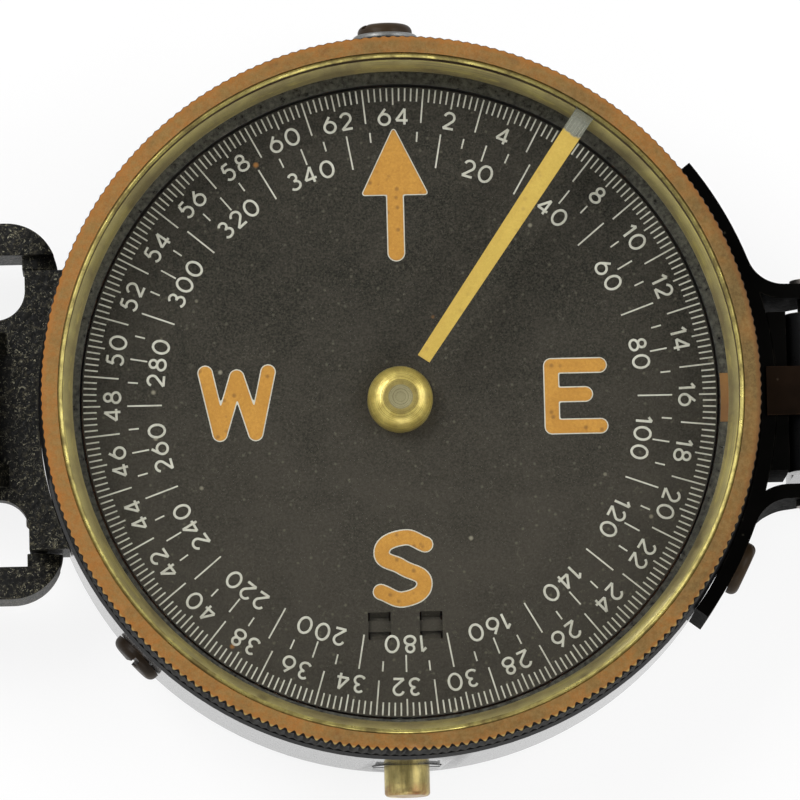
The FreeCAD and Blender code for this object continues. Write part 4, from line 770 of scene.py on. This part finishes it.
def buildDivisions():
    look = divisions
    shape = bmesh.new()
    for step in range(look["outerCount"]):
        length = look["shortTick"]
        if step % 10 == 5:
            length = look["oddHundredTick"]
        elif step % 5 == 0:
            length = look["hundredTick"]
        addTick(shape, math.tau * step / look["outerCount"], look["outerEnd"], length, look)
    for step in range(1, look["innerCount"]):
        length = look["fiveTick"]
        if step % 4 == 2:
            length = look["oddTenTick"]
        elif step % 4 == 0:
            length = look["tenTick"]
        addTick(shape, math.tau * step / look["innerCount"], look["innerEnd"], length, look)
    bmesh.ops.scale(shape, vec=(mm, mm, mm), verts=shape.verts)
    return toObject("dialDivisions", shape, printMaterial, "dial")


def arc(x, y, across, rise, start, end, steps=10):
    angles = [math.radians(start + (end - start) * step / steps) for step in range(steps + 1)]
    return [(x + across * math.cos(a), y + rise * math.sin(a)) for a in angles]


# strokes of each figure in a cell one high, with its width
figures = {
    "0": (0.78, [arc(0.39, 0.5, 0.39, 0.5, 90, 450, 20)]),
    "1": (0.26, [[(0.0, 0.78), (0.26, 1.0), (0.26, 0.0)]]),
    "2": (0.62, [arc(0.31, 0.69, 0.31, 0.31, 165, -38) + [(0.0, 0.0), (0.64, 0.0)]]),
    "3": (0.62, [arc(0.30, 0.765, 0.25, 0.235, 150, -90) + arc(0.30, 0.27, 0.32, 0.27, 90, -150)]),
    "4": (0.72, [[(0.52, 0.0), (0.52, 1.0), (0.0, 0.26), (0.72, 0.26)]]),
    "5": (0.62, [[(0.56, 1.0), (0.17, 1.0), (0.07, 0.58)] + arc(0.29, 0.33, 0.32, 0.33, 128, -145)]),
    "6": (0.72, [[(0.44, 1.0)] + arc(0.36, 0.34, 0.345, 0.34, 145, 505, 20)]),
    "8": (0.66, [arc(0.33, 0.765, 0.245, 0.235, -90, 270, 16), arc(0.33, 0.265, 0.33, 0.265, 90, 450, 18)]),
}
numberRings = {
    "mils": {"radius": 22.9, "labels": [(str(2 * step), step / 32) for step in range(1, 33)]},
    "degrees": {"radius": 19.5, "labels": [(str(20 * step), step / 18) for step in range(1, 18)]},
    "height": 1.28, "stroke": 0.2, "gap": 0.5, "flatten": 0.1, "sharpTurn": math.radians(40),
}


def strokesToShape(paths, radius, smoothPath=None):
    curve = bpy.data.curves.new("strokes", "CURVE")
    curve.dimensions = "3D"
    curve.bevel_depth = radius
    curve.bevel_resolution = 2
    curve.use_fill_caps = True
    for path in paths:
        spline = curve.splines.new("POLY")
        spline.points.add(len(path) - 1)
        for point, place in zip(spline.points, path):
            point.co = (place[0], place[1], 0.0, 1.0)
    if smoothPath:
        spline = curve.splines.new("BEZIER")
        spline.bezier_points.add(len(smoothPath) - 1)
        for point, place in zip(spline.bezier_points, smoothPath):
            point.co = (place[0], place[1], 0.0)
        for point in spline.bezier_points:
            point.handle_left_type = "AUTO"
            point.handle_right_type = "AUTO"
    holder = bpy.data.objects.new("strokes", curve)
    mesh = bpy.data.meshes.new_from_object(holder)
    bpy.data.objects.remove(holder)
    bpy.data.curves.remove(curve)
    shape = bmesh.new()
    shape.from_mesh(mesh)
    bpy.data.meshes.remove(mesh)
    return shape


def splitSharp(path):
    # a bevelled curve thins next to a sharp corner, so each run between corners is its own tube
    runs = [path[:1]]
    for before, here, after in zip(path, path[1:], path[2:]):
        runs[-1].append(here)
        if (Vector(here) - Vector(before)).angle(Vector(after) - Vector(here)) > numberRings["sharpTurn"]:
            runs.append([here])
    runs[-1].append(path[-1])
    return runs


def buildFigures():
    look = numberRings
    paths = []
    for ring in (look["mils"], look["degrees"]):
        for label, share in ring["labels"]:
            widths = [figures[digit][0] * look["height"] for digit in label]
            left = -(sum(widths) + look["gap"] * (len(label) - 1)) / 2
            for digit, width in zip(label, widths):
                middle = left + width / 2
                turn = math.tau * share + middle / ring["radius"]
                for stroke in figures[digit][1]:
                    cell = [Vector((x * look["height"] - width / 2, (y - 0.5) * look["height"], 0))
                            for x, y in stroke]
                    spot = Matrix.Rotation(-turn, 4, "Z") @ Matrix.Translation((0, ring["radius"], 0))
                    paths += splitSharp([(spot @ corner)[:2] for corner in cell])
                left += width + look["gap"]
    shape = strokesToShape(paths, look["stroke"] / 2)
    bmesh.ops.scale(shape, vec=(mm, mm, mm * look["flatten"]), verts=shape.verts)
    bmesh.ops.translate(shape, vec=(0, 0, cardTop), verts=shape.verts)
    return toObject("dialFigures", shape, printMaterial, "dial")


# Luminous letters and arrow, each a flat pad of paint over a slightly wider white print

letters = {
    "W": {"centre": (-12.95, 0.05), "half": 0.57,
          "strokes": [[(-2.5, 2.45), (-1.42, -2.45)], [(-1.42, -2.45), (0, 2.1)], [(0, 2.1), (1.42, -2.45)],
                      [(1.42, -2.45), (2.5, 2.45)]]},
    "E": {"centre": (12.1, 0.0), "half": 0.58,
          "strokes": [[(0, -2.36), (0, 2.52)], [(0, 2.52), (3.83, 2.52)], [(0, 0.21), (2.67, 0.21)],
                      [(0, -2.36), (3.83, -2.36)]]},
    "S": {"centre": (-0.08, -13.43), "half": 0.6,
          "curve": [(1.80, 1.86), (0.15, 2.46), (-1.68, 1.24), (-0.1, 0.10), (1.68, -1.24), (0.05, -2.48),
                    (-1.80, -1.86)]},
    "Arrow": {"centre": (0.0, 0.0), "half": 0.66,
              "strokes": [[(0, 11.9), (0, 17.0)]],
              "head": [(0, 21.7), (2.42, 16.72), (-2.42, 16.72)]},
}
paint = {"thickness": 0.05, "whiteEdge": 0.07, "whiteThickness": 0.018, "headRounding": 0.14, "voxel": 0.07,
         "smoothing": 3}


def roundEnds(shape, places, radius):
    for x, y in places:
        bmesh.ops.create_uvsphere(shape, u_segments=16, v_segments=10, radius=radius,
                                  matrix=Matrix.Translation((x, y, 0)))


def addHead(shape, corners, radius, half):
    # rounded triangle: the hull of a small ball at each corner
    balls = bmesh.new()
    roundEnds(balls, corners, radius)
    hull = bmesh.ops.convex_hull(balls, input=balls.verts)
    inside = hull["geom_interior"] + hull["geom_unused"]
    spare = {item for item in inside if isinstance(item, bmesh.types.BMVert)}
    bmesh.ops.delete(balls, geom=list(spare), context="VERTS")
    bmesh.ops.scale(balls, vec=(1, 1, half / radius), verts=balls.verts)
    mesh = bpy.data.meshes.new("head")
    balls.to_mesh(mesh)
    balls.free()
    shape.from_mesh(mesh)
    bpy.data.meshes.remove(mesh)


def padShape(look, half, thickness):
    # one pad of paint: the strokes grown together, flattened and cut off at the card
    shape = strokesToShape(look.get("strokes", []), half, look.get("curve"))
    roundEnds(shape, [place for stroke in look.get("strokes", []) for place in (stroke[0], stroke[-1])], half)
    if "curve" in look:
        roundEnds(shape, (look["curve"][0], look["curve"][-1]), half)
    if "head" in look:
        addHead(shape, look["head"], paint["headRounding"] + half - look["half"], half)
    mesh = bpy.data.meshes.new("pad")
    shape.to_mesh(mesh)
    shape.free()
    holder = bpy.data.objects.new("pad", mesh)
    bpy.context.scene.collection.objects.link(holder)
    grown = holder.modifiers.new("grown", "REMESH")
    grown.mode = "VOXEL"
    grown.voxel_size = paint["voxel"]
    joined = bpy.data.meshes.new_from_object(holder.evaluated_get(bpy.context.evaluated_depsgraph_get()))
    bpy.data.objects.remove(holder)
    shape = bmesh.new()
    shape.from_mesh(joined)
    bpy.data.meshes.remove(joined)
    for step in range(paint["smoothing"]):
        bmesh.ops.smooth_vert(shape, verts=shape.verts, factor=0.5, use_axis_x=True, use_axis_y=True,
                              use_axis_z=True)
    whole = shape.verts[:] + shape.edges[:] + shape.faces[:]
    cut = bmesh.ops.bisect_plane(shape, geom=whole, plane_co=(0, 0, 0), plane_no=(0, 0, 1), clear_inner=True)
    rim = [item for item in cut["geom_cut"] if isinstance(item, bmesh.types.BMEdge)]
    bmesh.ops.holes_fill(shape, edges=rim, sides=0)
    x, y = look["centre"]
    bmesh.ops.scale(shape, vec=(mm, mm, mm * thickness / half), verts=shape.verts)
    bmesh.ops.translate(shape, vec=(x * mm, y * mm, cardTop), verts=shape.verts)
    return shape


def buildLetters():
    for name, look in letters.items():
        white = padShape(look, look["half"] + paint["whiteEdge"], paint["whiteThickness"])
        edge = toObject("edge" + name, white, printMaterial, "dial")
        edge.data.shade_smooth()
        body = padShape(look, look["half"], paint["thickness"])
        pad = toObject("letter" + name, body, finishes["luminous_paint"], "dial")
        pad.data.shade_smooth()


print("dial printing")
buildDivisions()
buildFigures()
buildLetters()


# Floor, light and camera. Radius, places and sizes are in metres here.

floorLook = {"radius": 3.0, "segments": 64, "drop": 0.00002, "albedo": 0.95, "roughness": 0.9,
             "glowShare": 0.85}


def buildStage():
    look = floorLook
    shape = bmesh.new()
    bmesh.ops.create_circle(shape, cap_ends=True, segments=look["segments"], radius=look["radius"],
                            matrix=Matrix.Translation((0, 0, -look["drop"])))
    material = bpy.data.materials.new("floorWhite")
    material.use_nodes = True
    tree = material.node_tree
    shader = tree.nodes["Principled BSDF"]
    shader.inputs["Base Color"].default_value = rgb(look["albedo"], look["albedo"], look["albedo"])
    shader.inputs["Roughness"].default_value = look["roughness"]
    rays = addNode(tree, "LightPath").outputs
    seen = mathNode(tree, "MAXIMUM", rays["Is Camera Ray"],
                    mathNode(tree, "MAXIMUM", rays["Is Glossy Ray"], rays["Is Transmission Ray"]))
    glow = addNode(tree, "Emission", None, {"Color": rgb(1, 1, 1), "Strength": 1.0})
    share = product(tree, seen, look["glowShare"])
    mixed = addNode(tree, "MixShader", None, {0: share, 1: shader.outputs[0], 2: glow.outputs[0]})
    tree.links.new(mixed.outputs[0], tree.nodes["Material Output"].inputs["Surface"])
    plainObject("floor", shape, material)


lampLook = [
    {"name": "keySoftbox", "place": (-0.42, 0.30, 0.62), "size": 0.45, "power": 4.4},
    {"name": "fillSoftbox", "place": (0.50, 0.12, 0.55), "size": 0.45, "power": 2.5},
    {"name": "frontSoftbox", "place": (0.05, -0.6, 0.45), "size": 0.4, "power": 1.2},
]
worldLook = {"backdrop": 0.9, "ceiling": 0.1, "low": 0.25, "high": 0.8}


def buildLights():
    for look in lampLook:
        light = bpy.data.lights.new(look["name"], "AREA")
        light.energy = look["power"]
        light.size = look["size"]
        lamp = bpy.data.objects.new(look["name"], light)
        place = Vector(look["place"])
        lamp.matrix_world = Matrix.Translation(place) @ place.to_track_quat("Z", "Y").to_matrix().to_4x4()
        bpy.context.scene.collection.objects.link(lamp)
    world = bpy.data.worlds.new("softRoom")
    world.use_nodes = True
    tree = world.node_tree
    back = tree.nodes["Background"]
    # pale backdrop low down, dark ceiling above it
    look = worldLook
    rays = addNode(tree, "LightPath").outputs
    upwards = axisOf(tree, addNode(tree, "TexCoord").outputs["Generated"], "Z")
    room = remap(tree, upwards, look["low"], look["high"], look["backdrop"], look["ceiling"])
    strength = mathNode(tree, "MAXIMUM", room, rays["Is Camera Ray"])
    tree.links.new(strength, back.inputs["Strength"])
    back.inputs["Color"].default_value = rgb(1, 1, 1)
    bpy.context.scene.world = world


# fitted to the photo: place and target in millimetres, roll in radians, the rest in pixels
cameraLook = {
    "place": (-16.741, -81.987, 643.442), "target": (0.0, 0.0, 16.3), "roll": -0.0244,
    "pixelsPerView": 8000.0, "frame": 800.0, "targetPixel": (401.17, 393.63),
}


def buildCamera():
    look = cameraLook
    place = Vector(look["place"]) * mm
    ahead = (Vector(look["target"]) * mm - place).normalized()
    right = ahead.cross(Vector((0, 1, 0))).normalized()
    above = right.cross(ahead)
    turnedRight = right * math.cos(look["roll"]) + above * math.sin(look["roll"])
    turnedUp = above * math.cos(look["roll"]) - right * math.sin(look["roll"])
    camera = bpy.data.cameras.new("photoCamera")
    camera.sensor_width = 36.0
    camera.lens = camera.sensor_width * look["pixelsPerView"] / look["frame"]
    camera.clip_start = 0.01
    camera.clip_end = 10.0
    half = look["frame"] / 2
    camera.shift_x = (half - look["targetPixel"][0]) / look["frame"]
    camera.shift_y = (look["targetPixel"][1] - half) / look["frame"]
    holder = bpy.data.objects.new("photoCamera", camera)
    holder.matrix_world = Matrix((
        (turnedRight.x, turnedUp.x, -ahead.x, place.x), (turnedRight.y, turnedUp.y, -ahead.y, place.y),
        (turnedRight.z, turnedUp.z, -ahead.z, place.z), (0, 0, 0, 1)))
    bpy.context.scene.collection.objects.link(holder)
    bpy.context.scene.camera = holder


print("floor, light and camera")
buildStage()
buildLights()
buildCamera()
bpy.context.scene.view_settings.view_transform = "Standard"
